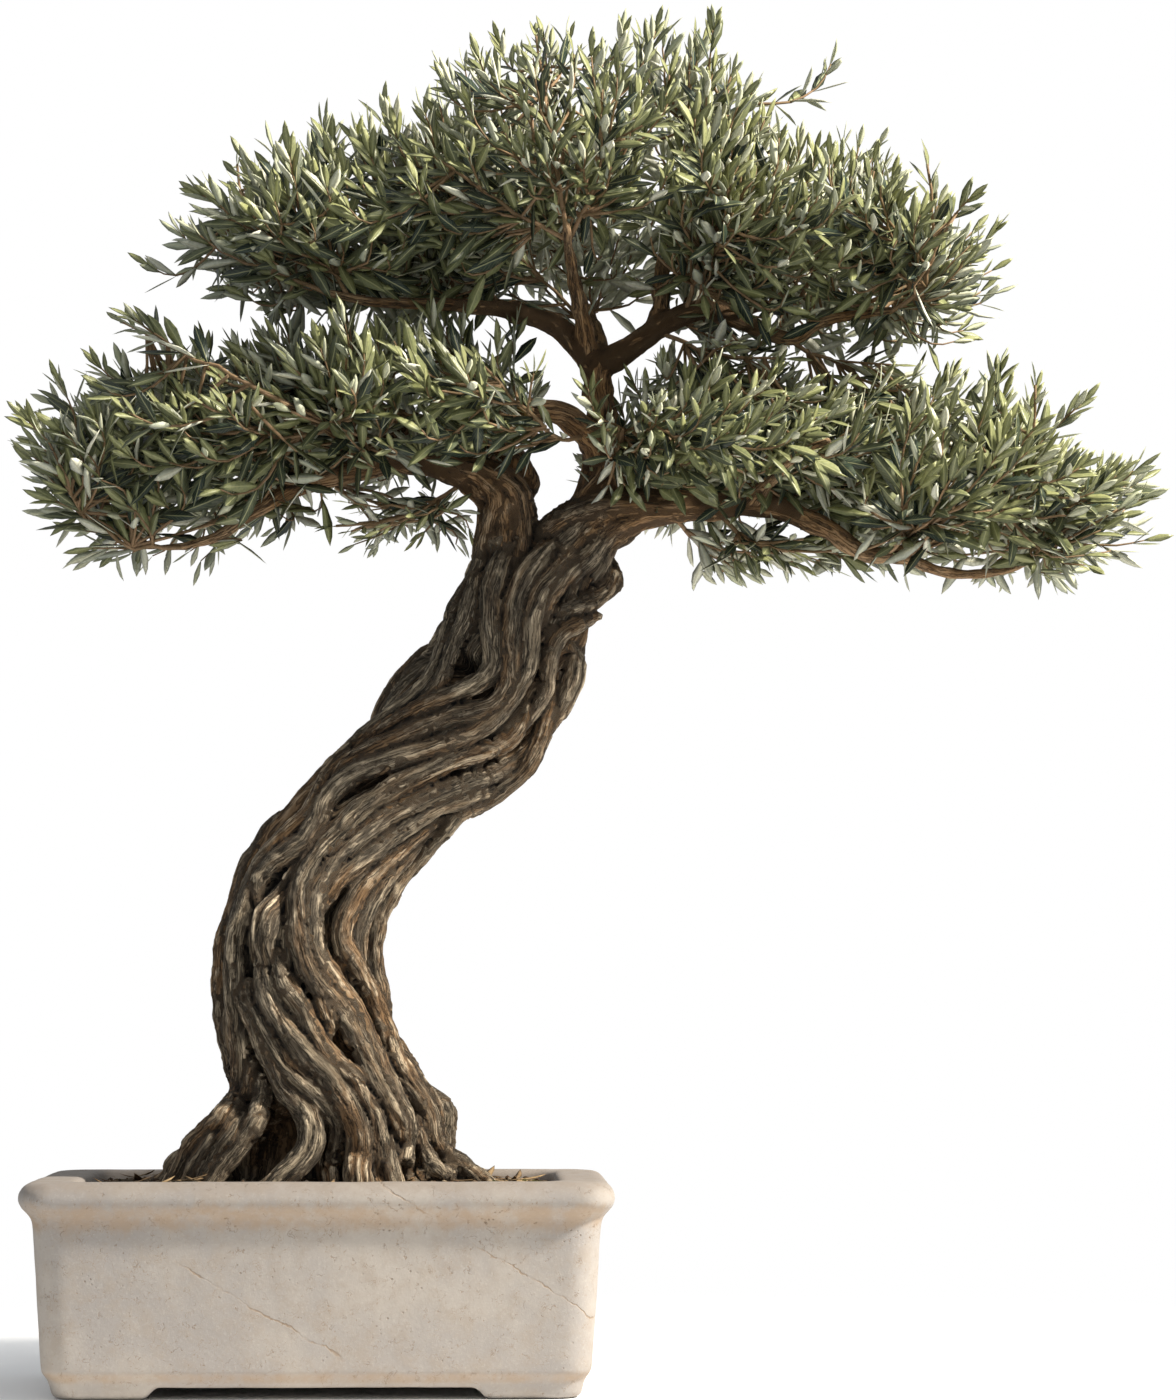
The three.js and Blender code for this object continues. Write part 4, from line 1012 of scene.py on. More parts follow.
places = ((corners_of(wood) - origin) / MM).astype(np.float32)
blocks = [straightened(places[start:start + BLOCK]) for start in range(0, len(places), BLOCK)]
grain = np.vstack([block[0] for block in blocks])
girth = np.concatenate([block[1] for block in blocks])
wavering = np.array([noise.noise_vector(spot_here) for spot_here in (grain / 24).tolist()])
bent = grain + wavering * np.array(WAVERING)
strength = np.clip(girth / 24, 0.2, 1)
splits = np.clip(ridged(bent, *SPLITS) - 1.05, 0, 0.35)
plates = ridged(bent, *PLATES)
fibres = ridged(bent, *FIBRES)
knobbly = np.array([noise.fractal(spot_here, 1, 2, 3) for spot_here in (grain / 15).tolist()])
rise = strength * (0.8 * (plates - 1) + 0.9 * (fibres - 0.9) + 0.7 * knobbly - 6 * splits)
rise = np.clip(rise, DEEPEST, HIGHEST)
roughened = corners_of(wood) + outward(wood) * (rise * MM)[:, None]
wood.data.vertices.foreach_set("co", roughened.astype(np.float32).ravel())
wood.data.update()

# How far each point lies under or over the smoothed skin: the finish paints shade into the
# hollows, and pale patches onto the ridges, partly bleached bark and partly painted sunlight.
smoothed = wood.copy()
smoothed.data = wood.data.copy()
bpy.context.scene.collection.objects.link(smoothed)
apply_modifier(smoothed, "SMOOTH", factor=0.5, iterations=45)
standing = ((corners_of(wood) - corners_of(smoothed)) * outward(smoothed)).sum(axis=1) / MM
bpy.data.objects.remove(smoothed)
for name, values in (("standing", standing), ("girth", girth), ("grain", grain * MM)):
    mark(wood, name, values)
faces_now = sum(len(face.vertices) - 2 for face in wood.data.polygons)
apply_modifier(wood, "DECIMATE", ratio=min(1, WOOD_TRIANGLES / faces_now))
wood.data.validate()
wood.data.shade_smooth()

bark = Finish("olive_bark", {"Specular IOR Level": 0.3})
grain_here = bark.attribute("grain", "Vector")
stands = bark.attribute("standing")
thick = bark.attribute("girth")
wavy = bark.mixed(0.0035, grain_here, bark.node("ShaderNodeTexNoise", {}, {
    "Vector": grain_here, "Scale": 60, "Detail": 3}, output=1), "ADD")
threads = bark.noise(bark.stretched(wavy, 1, 0.04), 640, 5, 0.62)
cords = bark.noise(bark.stretched(wavy, 1, 0.05), 200, 5, 0.6)
flakes = bark.noise(bark.stretched(wavy, 1, 0.35), 330, 5, 0.7)
patches = bark.noise(grain_here, 26, 5, 0.6)
warmth = bark.noise(bark.stretched(grain_here, 1, 0.25), 34, 4, 0.6)
hair_cracks = abs(threads - 0.5).between(0.004, 0.05, 1, 0)
cracks = abs(cords - 0.5).between(0.003, 0.03, 1, 0)
colour = bark.coats(
    (94, 84, 70),
    (cords.between(0.34, 0.66), (136, 122, 100)),
    (threads.between(0.5, 0.74) * 0.38, (172, 160, 138)),
    (warmth.between(0.44, 0.6) * 0.66, (136, 100, 61)),
    # Pale patches on the ridges: partly bleached bark, partly painted sunlight.
    (stands.between(0.2, 1.5) * patches.between(0.4, 0.56) * 0.85, (228, 208, 176)),
    (thick.between(19, 9) * 0.68, (164, 124, 80)),
    (hair_cracks * 0.6, (52, 43, 34)),
    (cracks * 0.75, (34, 28, 21)),
    (flakes.between(0.44, 0.3) * 0.5, (38, 31, 24)),
    # Painted shade: the deeper a point lies under the smoothed skin, the nearer to black it is.
    (stands.between(0, -2.1) * 0.97, (13, 10, 8)))
relief = cords * 0.5 + threads * 0.3 + flakes * 0.3 - cracks * 0.5 - hair_cracks * 0.25
bark.surface_gets(colour, threads.between(0.3, 0.7, 0.92, 0.74), relief, 0.0032, 1)
wood.data.materials.append(bark.material)
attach(wood, "root")
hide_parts("trunk_and_limbs")

# ---------------------------------------------------------------- leafy sprays
# Twigs of this and last year's growth, each a stem with side shoots and narrow leathery leaves
# in opposite pairs, dark green above and silvery beneath. They fill rounded clouds that have
# been kept in shape with scissors. A spray is one grown thing, stem, shoots and leaves.

# Each cloud: name, middle, half sizes, how far it hangs below its middle, sprays, first seed.
CLOUDS = [
    ("crown", (216, 5, 940), (150, 184, 122), 66, 8, 1),
    ("crown_left", (25, -5, 905), (130, 150, 90), 54, 6, 9),
    ("crown_right", (396, 0, 896), (118, 150, 94), 52, 7, 50),
    ("left_outer", (-124, -8, 734), (112, 136, 98), 72, 6, 22),
    ("left_inner", (42, 4, 766), (112, 156, 72), 62, 5, 70),
    ("left_hanging", (62, -10, 668), (56, 72, 20), 20, 2, 33),
    ("right_inner", (318, 0, 730), (104, 156, 76), 58, 5, 35),
    ("right_outer", (514, -2, 706), (122, 144, 92), 78, 7, 40),
    ("right_hanging", (352, -12, 640), (58, 66, 14), 14, 2, 60),
]
# How a cloud's leaves have filled it: fullness, where 2 is round and more gives it fuller
# shoulders, how its top slopes along X, how far it hangs down, shoots a spray, how much higher
# its top stands, how far its outer end droops.
HABITS = {
    "crown": (2.7, 0.14, 74, 32, 2, 0),
    "crown_left": (2, 0.32, 70, 30, -9, 12),
    "crown_right": (2.3, -0.34, 80, 31, -15, 24),
    "left_outer": (2, 0.32, 98, 30, -27, 14),
    "left_inner": (2.2, 0.06, 70, 30, -4, 0),
    "left_hanging": (2.4, 0, 20, 8, 0, 0),
    "right_inner": (2.2, 0, 52, 29, 0, 0),
    "right_outer": (2, -0.26, 78, 30, -22, 28),
    "right_hanging": (2.4, 0, 2, 8, 10, 0),
}
HEAD = Vector((200, 0, 620))  # shoots turn away from here
CLIPPED = 20  # clouds with more shoots a spray than this are kept clipped, the others hang
INNERMOST = 0.42  # share of the way out from a cloud's middle where its innermost shoots end
OUTERMOST = 0.62  # how much further the outermost go
RAGGED = 0.22  # how much hollows and bumps change that
LONG_SHOOTS = 0.22  # share of the shoots that have outgrown the shears
OUTGROWN = 0.28  # how much further they reach
FROM_MIDDLE, FROM_HEAD = 0.4, 0.6  # how strongly shoots turn away from either
RISING = (0.5, 0.4)  # how strongly they turn up, and how much more at a cloud's top
HANGING = -0.35
STRAYING = 0.42
ROOM = [(-222, 646), (-162, 176), (600, 1050)]  # where shoots may end, so that leaves fit
GOLDEN_ANGLE = 137.508
LOWEST_SPRAY = -0.5
LOWEST_SHOOT = -0.9
SPRAY_REACH = 112
SPRAY_FROM_LIMB = 14
WOOD_GAP = 0.35
STEM_RADIUS = 2.1
STEM_TIP_RADIUS = 1.1
STEM_BEND = (0.3, 0.12)  # where a stem bends, outwards and along the limb, as shares of its reach
STEM_OFF = (0, 0.6, 1.5)  # how far a stem's foot may keep off the limb besides
SHOOTS_AT = (0.46, 0.68)
SHOOT_LENGTH = 46
SHOOT_LEAN = 48
BENDS = (0, 24, -24, 48, -48, 75, -75)
ROOTED = 4  # how deep a stem's foot stands in the limb
LEAF_LENGTH = 38
LEAF_WIDTH = 0.25  # share of its length
LEAF_FOLD = 0.2  # how much its edges stand up from the midrib, as a share of half its width
LEAF_THICK = 0.012
LEAF_CURL = (-0.12, 0.3)  # the least, and how much more the most has
LEAF_ROOTED = 1.4  # how deep its root stands in the shoot
LEAF_EVERY = 10.5
LEAF_LEAN = 37  # degrees off the shoot
LEAF_KEPT = 0.95  # share of the leaves that haven't dropped
LEAFY_LENGTH = 84  # leaves stand only on the youngest part of a shoot
YOUNG_LENGTH = 34  # its very end, where they are young, smaller and closer together
YOUNG_SMALLER = 0.42
SPARSER = 1.3  # how much further apart they stand in full shade
END_LEAF = 0.66  # size of the one leaf that closes a shoot
HANGING_LEAF = 0.84
SHOOT_TWIG = (1.2, 0.8)  # radius at its foot and at its end
LONG_TWIG = (1.4, 0.55)
STEM_CROOKS = (9, 5)  # how many steps they take, and how far they go aside
TWIG_CROOKS = (6, 2.5)
BEST_REACH = 70  # a shoot leaves its branch about this far from its own end
TWIG_SIDES = 5
UP = Vector((0, 0, 1))


def straight_across(vector, ahead):
    """The part of a direction that is square to the line ahead."""
    return (vector - ahead * vector.dot(ahead)).normalized()


def sideways(ahead, turn):
    """A direction square to the line ahead, turned round it by some degrees."""
    level = ahead.cross(UP if abs(ahead.z) < 0.95 else Vector((0, 1, 0))).normalized()
    return Quaternion(ahead, math.radians(turn)) @ level


def leaning(ahead, out, lean):
    return (ahead * math.cos(math.radians(lean)) + out * math.sin(math.radians(lean))).normalized()


def in_cloud(cloud, height, turn, reach, fullness=2):
    """A place in a cloud, from its height (1 top, -1 foot), its turn and its reach outwards."""
    _, middle, half, under, _, _ = cloud
    ring = (1 - abs(height) ** fullness) ** (1 / fullness)
    offset = Vector((
        half[0] * ring * math.cos(turn), half[1] * ring * math.sin(turn),
        (half[2] if height > 0 else under) * height))
    return Vector(middle) + offset * reach


def bezier(start, bend, end, count):
    shares = [step / (count - 1) for step in range(count)]
    return [start * (1 - t) ** 2 + bend * (2 * t * (1 - t)) + end * t ** 2 for t in shares]


limb_places = []
for points in LIMBS.values():
    steps = 3 * (len(points) - 1)
    shares = np.arange(2, steps + 1) / steps
    where, ahead = spine(points, shares)
    for step, radius in enumerate(column(points, shares, 3)):
        if radius <= SPRAY_FROM_LIMB:
            at_end = step == len(shares) - 1
            limb_places.append((Vector(where[step]), Vector(ahead[step]), radius, at_end))


def stems_to(tip):
    """The ways that a stem could come to this tip from a limb, the best first."""
    ranked = []
    for limb in limb_places:
        to_tip = tip - limb[0]
        level = to_tip.dot(limb[1]) / to_tip.length
        drop = max(0, limb[0].z - tip.z) / to_tip.length
        ranked.append((abs(to_tip.length - SPRAY_REACH) + 36 * (1 - level) + 30 * drop, limb))
    ranked.sort(key=lambda entry: entry[0])
    for _, (foot, ahead, radius, at_end) in ranked[:24]:
        to_tip = tip - foot
        out = ahead if at_end else straight_across(to_tip, ahead)
        for extra in STEM_OFF:
            start = foot + out * ((0 if at_end else radius) + WOOD_GAP + extra)
            bend = start + out * (STEM_BEND[0] * to_tip.length)
            bend = bend + ahead * (STEM_BEND[1] * to_tip.length)
            yield bezier(start, bend, tip, 4)


def stands_at(corners, spot_here, radius):
    """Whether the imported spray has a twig's section of this radius at this place."""
    far = np.linalg.norm(corners - np.array(spot_here), axis=1)
    return (abs(far - radius) < 0.03).sum() >= 2


def on_line(line, share):
    along = share * (len(line) - 1)
    first = min(int(along), len(line) - 2)
    ahead = (line[first + 1] - line[first]).normalized()
    return line[first].lerp(line[first + 1], along - first), ahead


def side_shoot(stem, share, side, draw, corners):
    """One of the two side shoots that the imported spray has, or nothing if it hasn't."""
    foot, ahead = on_line(stem, share)
    length = SHOOT_LENGTH * (0.85 + 0.3 * next(draw))
    swing = 50 * (next(draw) - 0.5)
    next(draw)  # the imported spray's rule takes one more here
    for bend in BENDS:
        out = sideways(ahead, bend + 180 * side + swing)
        end = foot + leaning(ahead, out, SHOOT_LEAN) * length
        if stands_at(corners, end, 1):
            return bezier(foot, foot.lerp(end, 0.5) + ahead * 1.5, end, 5)
    return None


def gnarled(line, steps, aside):
    """The same line with the small crooks that a twig gets as it grows thick."""
    crooked = []
    for step in range(steps + 1):
        spot_here = on_line(line, step / steps)[0]
        off = noise.noise_vector(spot_here / 14) * aside * math.sin(math.pi * step / steps)
        crooked.append(spot_here + off)
    return crooked


def line_length(line):
    return sum((end - start).length for start, end in zip(line, line[1:]))


def grow_towards(target, outwards, lines, draw):
    """A shoot that leaves one of the spray's lines where it best can, and bends up outwards."""
    best = None
    for line in lines:
        for share in (0.2, 0.35, 0.5, 0.62, 0.74, 0.86):
            foot, ahead = on_line(line, share)
            to_target = target - foot
            level = to_target.dot(ahead) / max(to_target.length, 1)
            cost = abs(to_target.length - BEST_REACH) + 30 * (1 - level) + 8 * next(draw)
            if best is None or cost < best[0]:
                best = (cost, foot)
    foot = best[1]
    reach = (target - foot).length
    return bezier(foot, target - outwards * (0.5 * reach), target, 6)


# One leaf of 16 faces, closed: root, three stations of left edge, right edge, top of the midrib
# and underside, then the tip. Across, along and up are shares of its length.
STATIONS = [(0.25, 0.58), (0.56, 1.0), (0.82, 0.62)]
leaf_points = [(0, 0, 0)]
leaf_uv = [(0.5, 0)]
for t, width in STATIONS:
    edge = width * LEAF_WIDTH / 2
    fold = LEAF_FOLD * edge
    leaf_points += [(-edge, t, fold), (edge, t, fold), (0, t, 0), (0, t, -LEAF_THICK)]
    leaf_uv += [(0, t), (1, t), (0.5, t), (0.5, t)]
leaf_points.append((0, 1, 0))
leaf_uv.append((0.5, 1))
leaf_faces = [(0, 3, 1), (0, 2, 3), (0, 1, 4), (0, 4, 2)]
leaf_sides = [0, 0, 1, 1]
for row in range(len(STATIONS) - 1):
    left, right, top, low = (1 + 4 * row + step for step in range(4))
    leaf_faces += [
        (left, top, top + 4, left + 4), (top, right, right + 4, top + 4),
        (left, left + 4, low + 4, low), (low, low + 4, right + 4, right)]
    leaf_sides += [0, 0, 1, 1]
leaf_faces += [(9, 11, 13), (11, 10, 13), (12, 9, 13), (10, 12, 13)]
leaf_sides += [0, 0, 1, 1]
leaf_points = np.array(leaf_points, float)
leaf_uv = np.array(leaf_uv, float)


def add_leaf(leaves, root, ahead, out, lean, length, young, facing, draw):
    """Notes one leaf: where it starts, which way it lies and faces, its size and its kind."""
    axis = leaning(ahead, out, lean)
    face = ahead * 0.4 + facing + Vector([next(draw) - 0.5 for _ in range(3)]) * 1.1
    normal = straight_across(face, axis)
    curl = LEAF_CURL[0] + LEAF_CURL[1] * next(draw)
    leaves.append((
        root, axis.cross(normal), axis, normal, length, curl, young, next(draw)))


def leaf_line(leaves, line, facing, tip_leaf, draw, sparse):
    """Pairs of opposite leaves along the youngest part of a shoot, each pair across the last."""
    length = line_length(line)
    turn = 360 * next(draw)
    far = max(length * 0.16, length - LEAFY_LENGTH) + 3 * next(draw)
    while far < length - 2:
        root, ahead = on_line(line, far / length)
        young = max(0, 1 - (length - far) / YOUNG_LENGTH)
        size = tip_leaf * (1 - YOUNG_SMALLER * young) * (0.82 + 0.3 * next(draw))
        lean = LEAF_LEAN - 15 * young + 16 * (next(draw) - 0.5)
        out = sideways(ahead, turn + 16 * (next(draw) - 0.5))
        if next(draw) < LEAF_KEPT:
            add_leaf(leaves, root, ahead, out, lean, size, young, facing, draw)
        if next(draw) < LEAF_KEPT:
            lean += 8 * (next(draw) - 0.5)
            add_leaf(leaves, root, ahead, -out, lean, size, young, facing, draw)
        turn += 90
        far += LEAF_EVERY * (1.15 - 0.5 * young) * (1 + SPARSER * sparse)
    add_leaf(leaves, line[-1], ahead, out, 6, tip_leaf * END_LEAF, 1, facing, draw)


def twig(line, start_radius, end_radius):
    """Corners and faces of one closed twig, rounded at its end by its last small ring."""
    middle = np.array(line)
    ahead = unit(np.gradient(middle, axis=0))
    radius = np.linspace(start_radius, end_radius, len(line))
    return skin(tube(middle, ahead, radius, TWIG_SIDES))


leaf_finish = Finish("olive_leaf", {"Specular IOR Level": 0.42})
kind = leaf_finish.attribute("kind", "Vector")
underside, young, tone = (leaf_finish.part(kind, at) for at in range(3))
on_leaf = leaf_finish.node("ShaderNodeUVMap", {"uv_map": "leaf"})
across, along = (leaf_finish.part(on_leaf, at) for at in range(2))
spot = leaf_finish.spot()
from_rib = abs(across - 0.5)
midrib = from_rib.between(0.025, 0.075, 1, 0)
side_veins = leaf_finish.node("ShaderNodeMath", {"operation": "SINE"}, {
    0: (along + from_rib * -0.45) * 62})
side_veins = side_veins.between(0.55, 1) * from_rib.between(0.05, 0.2)
mottle = leaf_finish.noise(spot, 420, 4)
dust = leaf_finish.noise(spot, 90, 4)
upper = leaf_finish.coats(
    (40, 54, 47),
    (tone.between(0.16, 1), (138, 142, 94)),
    (young * 0.68, (174, 176, 120)),
    (mottle.between(0.4, 0.7) * 0.3, (52, 64, 48)),
    (dust.between(0.5, 0.75) * 0.26, (146, 149, 124)),
    (side_veins * 0.25, (148, 154, 110)),
    (midrib * 0.6, (188, 188, 138)))
under = leaf_finish.coats(
    (178, 184, 162),
    (tone, (230, 229, 210)),
    (young * 0.4, (196, 200, 150)),
    (mottle.between(0.4, 0.7) * 0.3, (146, 152, 126)),
    (midrib * 0.5, (204, 198, 160)))
colour = leaf_finish.mixed(underside, upper, under)
relief = midrib * 0.6 + side_veins * 0.25 + mottle * 0.2
leaf_finish.surface_gets(
    colour, underside.between(0, 1, 0.3, 0.74) + mottle * 0.14, relief, 0.0003, 0.8)

twig_finish = Finish("olive_twig", {"Specular IOR Level": 0.3})
spot = twig_finish.spot()
blotches = twig_finish.noise(spot, 70, 4)
grit = twig_finish.noise(spot, 900, 4)
colour = twig_finish.coats(
    (152, 124, 94),
    (blotches.between(0.4, 0.6), (124, 102, 72)),
    (grit.between(0.5, 0.7) * 0.5, (84, 70, 54)))
twig_finish.surface_gets(colour, 0.7, grit, 0.0004, 0.8)


def blades(leaves):
    """The corners of all leaves in mm, and how young and which tone each is."""
    root, across, axis, normal = (
        np.array([leaf[at] for leaf in leaves])[:, None] for at in range(4))
    length, curl, young, tone = (
        np.array([leaf[at] for leaf in leaves])[:, None, None] for at in range(4, 8))
    x, y, z = (leaf_points[None, :, at, None] for at in range(3))
    bowed = z - curl * y ** 2
    laid = root + length * (across * x + axis * y + normal * bowed)
    laid = laid - axis * LEAF_ROOTED * (1 - y)
    return laid.reshape(-1, 3), young, tone


def blade_faces(count, start=0):
    """The faces of so many leaves, whose corners follow each other from a start."""
    return [
        [corner + start + index * len(leaf_points) for corner in face]
        for index in range(count) for face in leaf_faces]


def make_spray(name, leaves, twigs):
    """One spray's mesh, from its leaves and twigs."""
    corners = []
    faces = []
    count = 0
    for line, start_radius, end_radius in twigs:
        twig_corners, twig_faces = twig(line, start_radius, end_radius)
        faces += [[corner + count for corner in face] for face in twig_faces]
        corners.append(twig_corners)
        count += len(twig_corners)
    twig_face_count = len(faces)
    leaf_corners, young, tone = blades(leaves)
    faces += blade_faces(len(leaves), count)
    corners = np.vstack(corners + [leaf_corners])
    piece = new_piece(
        name + "_leafy", corners * MM + origin, faces, leaf_finish)
    mesh = piece.data
    mesh.materials.append(twig_finish.material)
    is_twig = np.arange(len(faces)) < twig_face_count
    mesh.polygons.foreach_set("material_index", is_twig.astype(np.int32))
    mesh.polygons.foreach_set("use_smooth", np.ones(len(faces), bool))
    of_faces = (
        np.tile(leaf_sides, len(leaves)),
        np.repeat(young.ravel(), len(leaf_faces)), np.repeat(tone.ravel(), len(leaf_faces)))
    kinds = [np.concatenate([np.zeros(twig_face_count), values]) for values in of_faces]
    mark(piece, "kind", np.stack(kinds, axis=1), "FACE")
    uv = np.vstack([np.zeros((count, 2)), np.tile(leaf_uv, (len(leaves), 1))])
    corner_of = np.empty(len(mesh.loops), np.int32)
    mesh.loops.foreach_get("vertex_index", corner_of)
    leaf_map = mesh.uv_layers.new(name="leaf")
    leaf_map.data.foreach_set("uv", uv[corner_of].astype(np.float32).ravel())
    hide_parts(name)


for cloud in CLOUDS:
    cloud_name, centre, half, _, spray_count, seed = cloud
    middle = Vector(centre)
    sprays = []
    for index in range(spray_count):
        name = f"{cloud_name}_spray_{index + 1}"
        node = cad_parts[name]
        corners = np.array([node.matrix_world @ corner.co for corner in node.data.vertices])
        corners = (corners - origin) / MM
        height = 1 - (index + 0.5) / spray_count * (1 - LOWEST_SPRAY)
        tip = in_cloud(cloud, height, math.radians(index * GOLDEN_ANGLE + centre[0]), 1)
        draw = draws(seed + index)
        tip_leaf = LEAF_LENGTH * (0.82 + 0.3 * next(draw))
        stem = next(line for line in stems_to(tip) if stands_at(corners, line[0], STEM_RADIUS))
        shoots = [
            side_shoot(stem, share, side, draw, corners) for side, share in enumerate(SHOOTS_AT)]
        lines = [stem] + [line for line in shoots if line]
        sprays.append((lines, [], name, draw, tip_leaf))

    # Every further shoot ends at a place of its own in the cloud, and the nearest stem bears it.
    fullness, slope, under, shoots_each, lift, droop = HABITS[cloud_name]
    clipped = shoots_each > CLIPPED
    outer_side = -1 if "left" in cloud_name else 1
    filled = cloud[:3] + (under,) + cloud[4:]
    count = shoots_each * spray_count
    draw = draws(900 + seed)
    for index in range(count):
        height = 1 - (index + 0.5) / count * (1 - LOWEST_SHOOT)
        turn = math.radians(index * GOLDEN_ANGLE + 40)
        ragged = noise.noise(Vector((math.cos(turn), math.sin(turn), 2 * height)) * 2.3)
        reach = INNERMOST + OUTERMOST * next(draw) ** 0.5 + RAGGED * ragged
        reach += OUTGROWN * (next(draw) < LONG_SHOOTS) * next(draw)
        target = in_cloud(filled, height, turn, reach, fullness)
        target.z += (slope * (target.x - middle.x) + lift) * max(0, height)
        target.z -= droop * max(0, outer_side * (target.x - middle.x) / half[0]) ** 2
        target.y += (middle.y - target.y) * 0.4 * height ** 2
        target = Vector([min(max(value, low), high) for value, (low, high) in zip(target, ROOM)])
        outwards = (target - middle).normalized() * FROM_MIDDLE
        outwards = outwards + (target - HEAD).normalized() * FROM_HEAD
        outwards += UP * (RISING[0] + RISING[1] * height if clipped else HANGING)
        outwards += Vector([next(draw) - 0.5 for _ in range(3)]) * STRAYING
        nearest = min(sprays, key=lambda spray: min(
            (target - spot_here).length for spot_here in spray[0][0][1:]))
        nearest[1].append((target, outwards.normalized()))
    for lines, targets, name, draw, tip_leaf in sprays:
        stem = lines[0]
        grown = [grow_towards(target, outwards, lines, draw) for target, outwards in targets]
        leaves = []
        for line in lines + grown:
            facing = (line[-1] - middle).normalized() * 0.8 + UP * 0.45
            shaded = min(1, max(0, (middle.z - line[-1].z - 5) / 50))
            size = tip_leaf * (0.86 + 0.2 * next(draw)) * (1 if clipped else HANGING_LEAF)
            leaf_line(leaves, line, facing, size, draw, shaded if clipped else 0.7)
        rooted = stem[0] - (stem[1] - stem[0]).normalized() * ROOTED
        twigs = [([rooted] + gnarled(stem, *STEM_CROOKS), STEM_RADIUS, STEM_TIP_RADIUS)]
        twigs += [(line, *SHOOT_TWIG) for line in lines[1:]]
        twigs += [(gnarled(line, *TWIG_CROOKS), *LONG_TWIG) for line in grown]
        make_spray(name, leaves, twigs)

# ---------------------------------------------------------------- moss and fallen leaves
# What a bonsai's soil gathers: low cushions of moss between the roots, and dry leaves of the
# tree itself that have dropped and curled. They lie loose on the bed.

CUSHIONS = 18
FALLEN_LEAVES = 110
CUSHION_SIZE = (5, 9)  # half a cushion's width, and how much more the widest has
TUFTS = (0.9, 1.1)  # how far the moss stands out in tufts, and how wide they are
SWELLS = (1.3, 3.5)
ROOTS_REACH = (128, 84)  # half the roots' width and depth
LITTER_FREE = 12  # nothing lies this near the cavity's wall


def beside_roots(draw, spread):
    """A place on the bed that is clear of the trunk's foot, nearer to it than to the rim."""
    while True:
        turn = 2 * math.pi * next(draw)
        out = 1.02 + spread * next(draw) ** 1.6
        x, y = ROOTS_REACH[0] * out * math.cos(turn), ROOTS_REACH[1] * out * math.sin(turn)
        if abs(x) < bed_length / 2 - LITTER_FREE and abs(y) < bed_depth / 2 - LITTER_FREE:
            return x, y


tuft_corners, tuft_faces = lump(4)
draw = draws(411)
moss_corners = []
moss_faces = []
for index in range(CUSHIONS):
    x, y = beside_roots(draw, 0.55)
    wide = CUSHION_SIZE[0] + CUSHION_SIZE[1] * next(draw) ** 2
    sizes = np.array([wide, wide * (0.6 + 0.4 * next(draw)), 1.4 + 0.11 * wide])
    turn = math.pi * next(draw)
    cushion = tuft_corners * sizes
    shift = Vector((index, 0, 0))
    fuzz = np.array([
        TUFTS[0] * noise.noise(Vector(corner) / TUFTS[1])
        + SWELLS[0] * noise.noise(Vector(corner) / SWELLS[1] + shift) for corner in cushion])
    cushion = cushion + tuft_corners * fuzz[:, None]
    moss_faces.append(tuft_faces + len(tuft_corners) * index)
    moss_corners.append(spun(cushion, turn) + np.array([x, y, crumbly(x, y)]))

moss_finish = Finish("moss", {"Specular IOR Level": 0.15})
spot = moss_finish.spot()
stars = moss_finish.noise(spot, 1400, 4, 0.7)
patches = moss_finish.noise(spot, 60, 4)
colour = moss_finish.coats(
    (58, 58, 30),
    (patches.between(0.4, 0.62), (96, 86, 48)),
    (stars.between(0.5, 0.68) * 0.7, (122, 116, 66)),
    (stars.between(0.46, 0.34) * 0.8, (24, 26, 12)))
moss_finish.surface_gets(colour, 0.95, stars, 0.0012, 1)
moss = new_piece(
    "moss_cushions", np.vstack(moss_corners) * MM + origin, np.vstack(moss_faces).tolist(),
    moss_finish)
moss.data.shade_smooth()

dry_leaf = Finish("dry_leaf", {"Specular IOR Level": 0.3})
tone = dry_leaf.attribute("tone")
blotches = dry_leaf.noise(dry_leaf.spot(), 260, 4)
colour = dry_leaf.coats(
    (92, 68, 44), (tone, (168, 142, 104)), (blotches.between(0.45, 0.65) * 0.5, (66, 48, 32)))
dry_leaf.surface_gets(colour, 0.8, blotches, 0.0004, 0.8)
fallen = []
for index in range(FALLEN_LEAVES):
    x, y = beside_roots(draw, 0.75)
    turn = 2 * math.pi * next(draw)
    axis = Vector((math.cos(turn), math.sin(turn), 0.2 * (next(draw) - 0.5))).normalized()
    over = UP * (1 if next(draw) < 0.5 else -1)
    over = over + Vector([next(draw) - 0.5 for _ in range(3)]) * 0.4
    normal = straight_across(over, axis)
    length = LEAF_LENGTH * (0.5 + 0.4 * next(draw))
    root = Vector((x, y, crumbly(x, y) + 1.6)) - axis * (0.5 * length)
    curl = 0.3 * next(draw)
    fallen.append((root, axis.cross(normal), axis, normal, length, curl, 0, next(draw)))
fallen_corners, _, tones = blades(fallen)
litter = new_piece(
    "fallen_leaves", fallen_corners * MM + origin, blade_faces(FALLEN_LEAVES), dry_leaf)
mark(litter, "tone", np.repeat(tones.ravel(), len(leaf_points)))
litter.data.shade_smooth()

# ---------------------------------------------------------------- studio
# A pale paper floor that fades out into the white round it, one warm lamp high on the right,
# and the soft light of a white room.

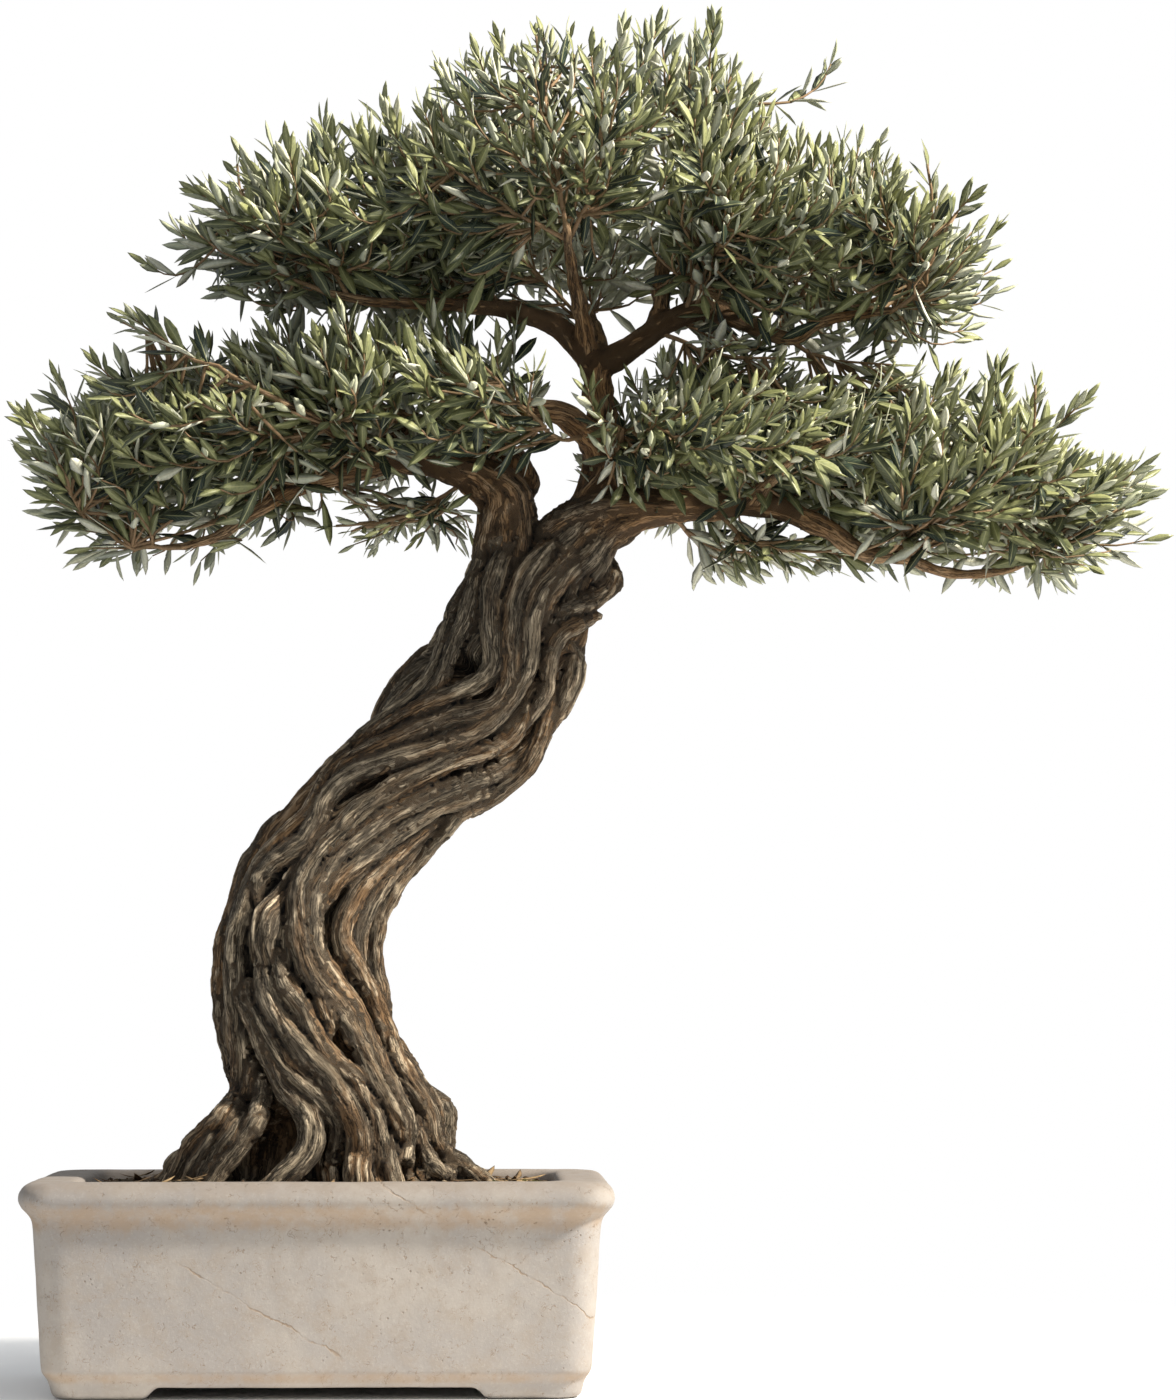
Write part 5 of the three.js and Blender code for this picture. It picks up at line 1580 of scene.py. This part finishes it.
FLOOR_RADIUS = 3
FLOOR_FADES = (0.35, 1.1)  # where it begins to fade, and where it is gone
LAMP_AIM = (0, 0, 0.55)
LAMP_SIDE = (0.95, -0.36, 0.84)  # the direction that it stands in, and how far off
LAMP_FAR = 4
LAMP_SIZE = 0.3
LAMP_POWER = 380
LAMP_COLOUR = (1, 0.94, 0.85)
SKY_COLOUR = (0.93, 0.96, 1, 1)
SKY_STRENGTH = 0.52
CAMERA_PLACE = (107, -3450, 292)
CAMERA_TURN = (93.989, 0, -1.653)
CAMERA_LENS = 113.48

deselect_all()
bpy.ops.mesh.primitive_circle_add(
    vertices=96, radius=FLOOR_RADIUS, fill_type="NGON", location=(0, 0, 0))
floor = bpy.context.object
floor.name = "studio_floor"
paper = Finish("paper_floor", {})
spot = paper.spot()
colour = paper.coats((250, 250, 249), (paper.noise(spot, 3, 3) * 0.2, (246, 245, 243)))
far = paper.node("ShaderNodeVectorMath", {"operation": "LENGTH"}, {0: spot}, output="Value")
paper.feed(paper.surface.inputs["Alpha"], far.between(*FLOOR_FADES, 1, 0))
paper.surface_gets(colour, 0.9, paper.noise(spot, 600, 3), 0.0002, 0.2)
floor.data.materials.append(paper.material)

lamp_place = Vector(LAMP_AIM) + Vector(LAMP_SIDE).normalized() * LAMP_FAR
deselect_all()
bpy.ops.object.light_add(type="AREA", location=lamp_place)
lamp = bpy.context.object
lamp.name = "key_lamp"
lamp.rotation_euler = (Vector(LAMP_AIM) - lamp_place).to_track_quat("-Z", "Y").to_euler()
lamp.data.size = LAMP_SIZE
lamp.data.energy = LAMP_POWER
lamp.data.color = LAMP_COLOUR

# The sky lights the tree softly, and the camera sees plain white instead of it.
world = bpy.data.worlds.new("white_room")
bpy.context.scene.world = world
room = Finish("white_room", {"Color": SKY_COLOUR, "Strength": SKY_STRENGTH}, world)
seen = room.node("ShaderNodeBackground", {}, {"Color": (1, 1, 1, 1), "Strength": 1})
to_camera = room.node("ShaderNodeLightPath", output="Is Camera Ray")
sky = Shade(room, room.surface.outputs[0])
choice = room.node("ShaderNodeMixShader", {}, {0: to_camera, 1: sky, 2: seen})
room.feed(room.tree.nodes["World Output"].inputs["Surface"], choice)

deselect_all()
bpy.ops.object.camera_add(
    location=place(*CAMERA_PLACE), rotation=[math.radians(turn) for turn in CAMERA_TURN])
camera = bpy.context.object
camera.name = "studio_camera"
camera.data.lens = CAMERA_LENS
camera.data.sensor_width = 36
camera.data.clip_end = 200
bpy.context.scene.camera = camera
bpy.context.scene.view_settings.view_transform = "Standard"
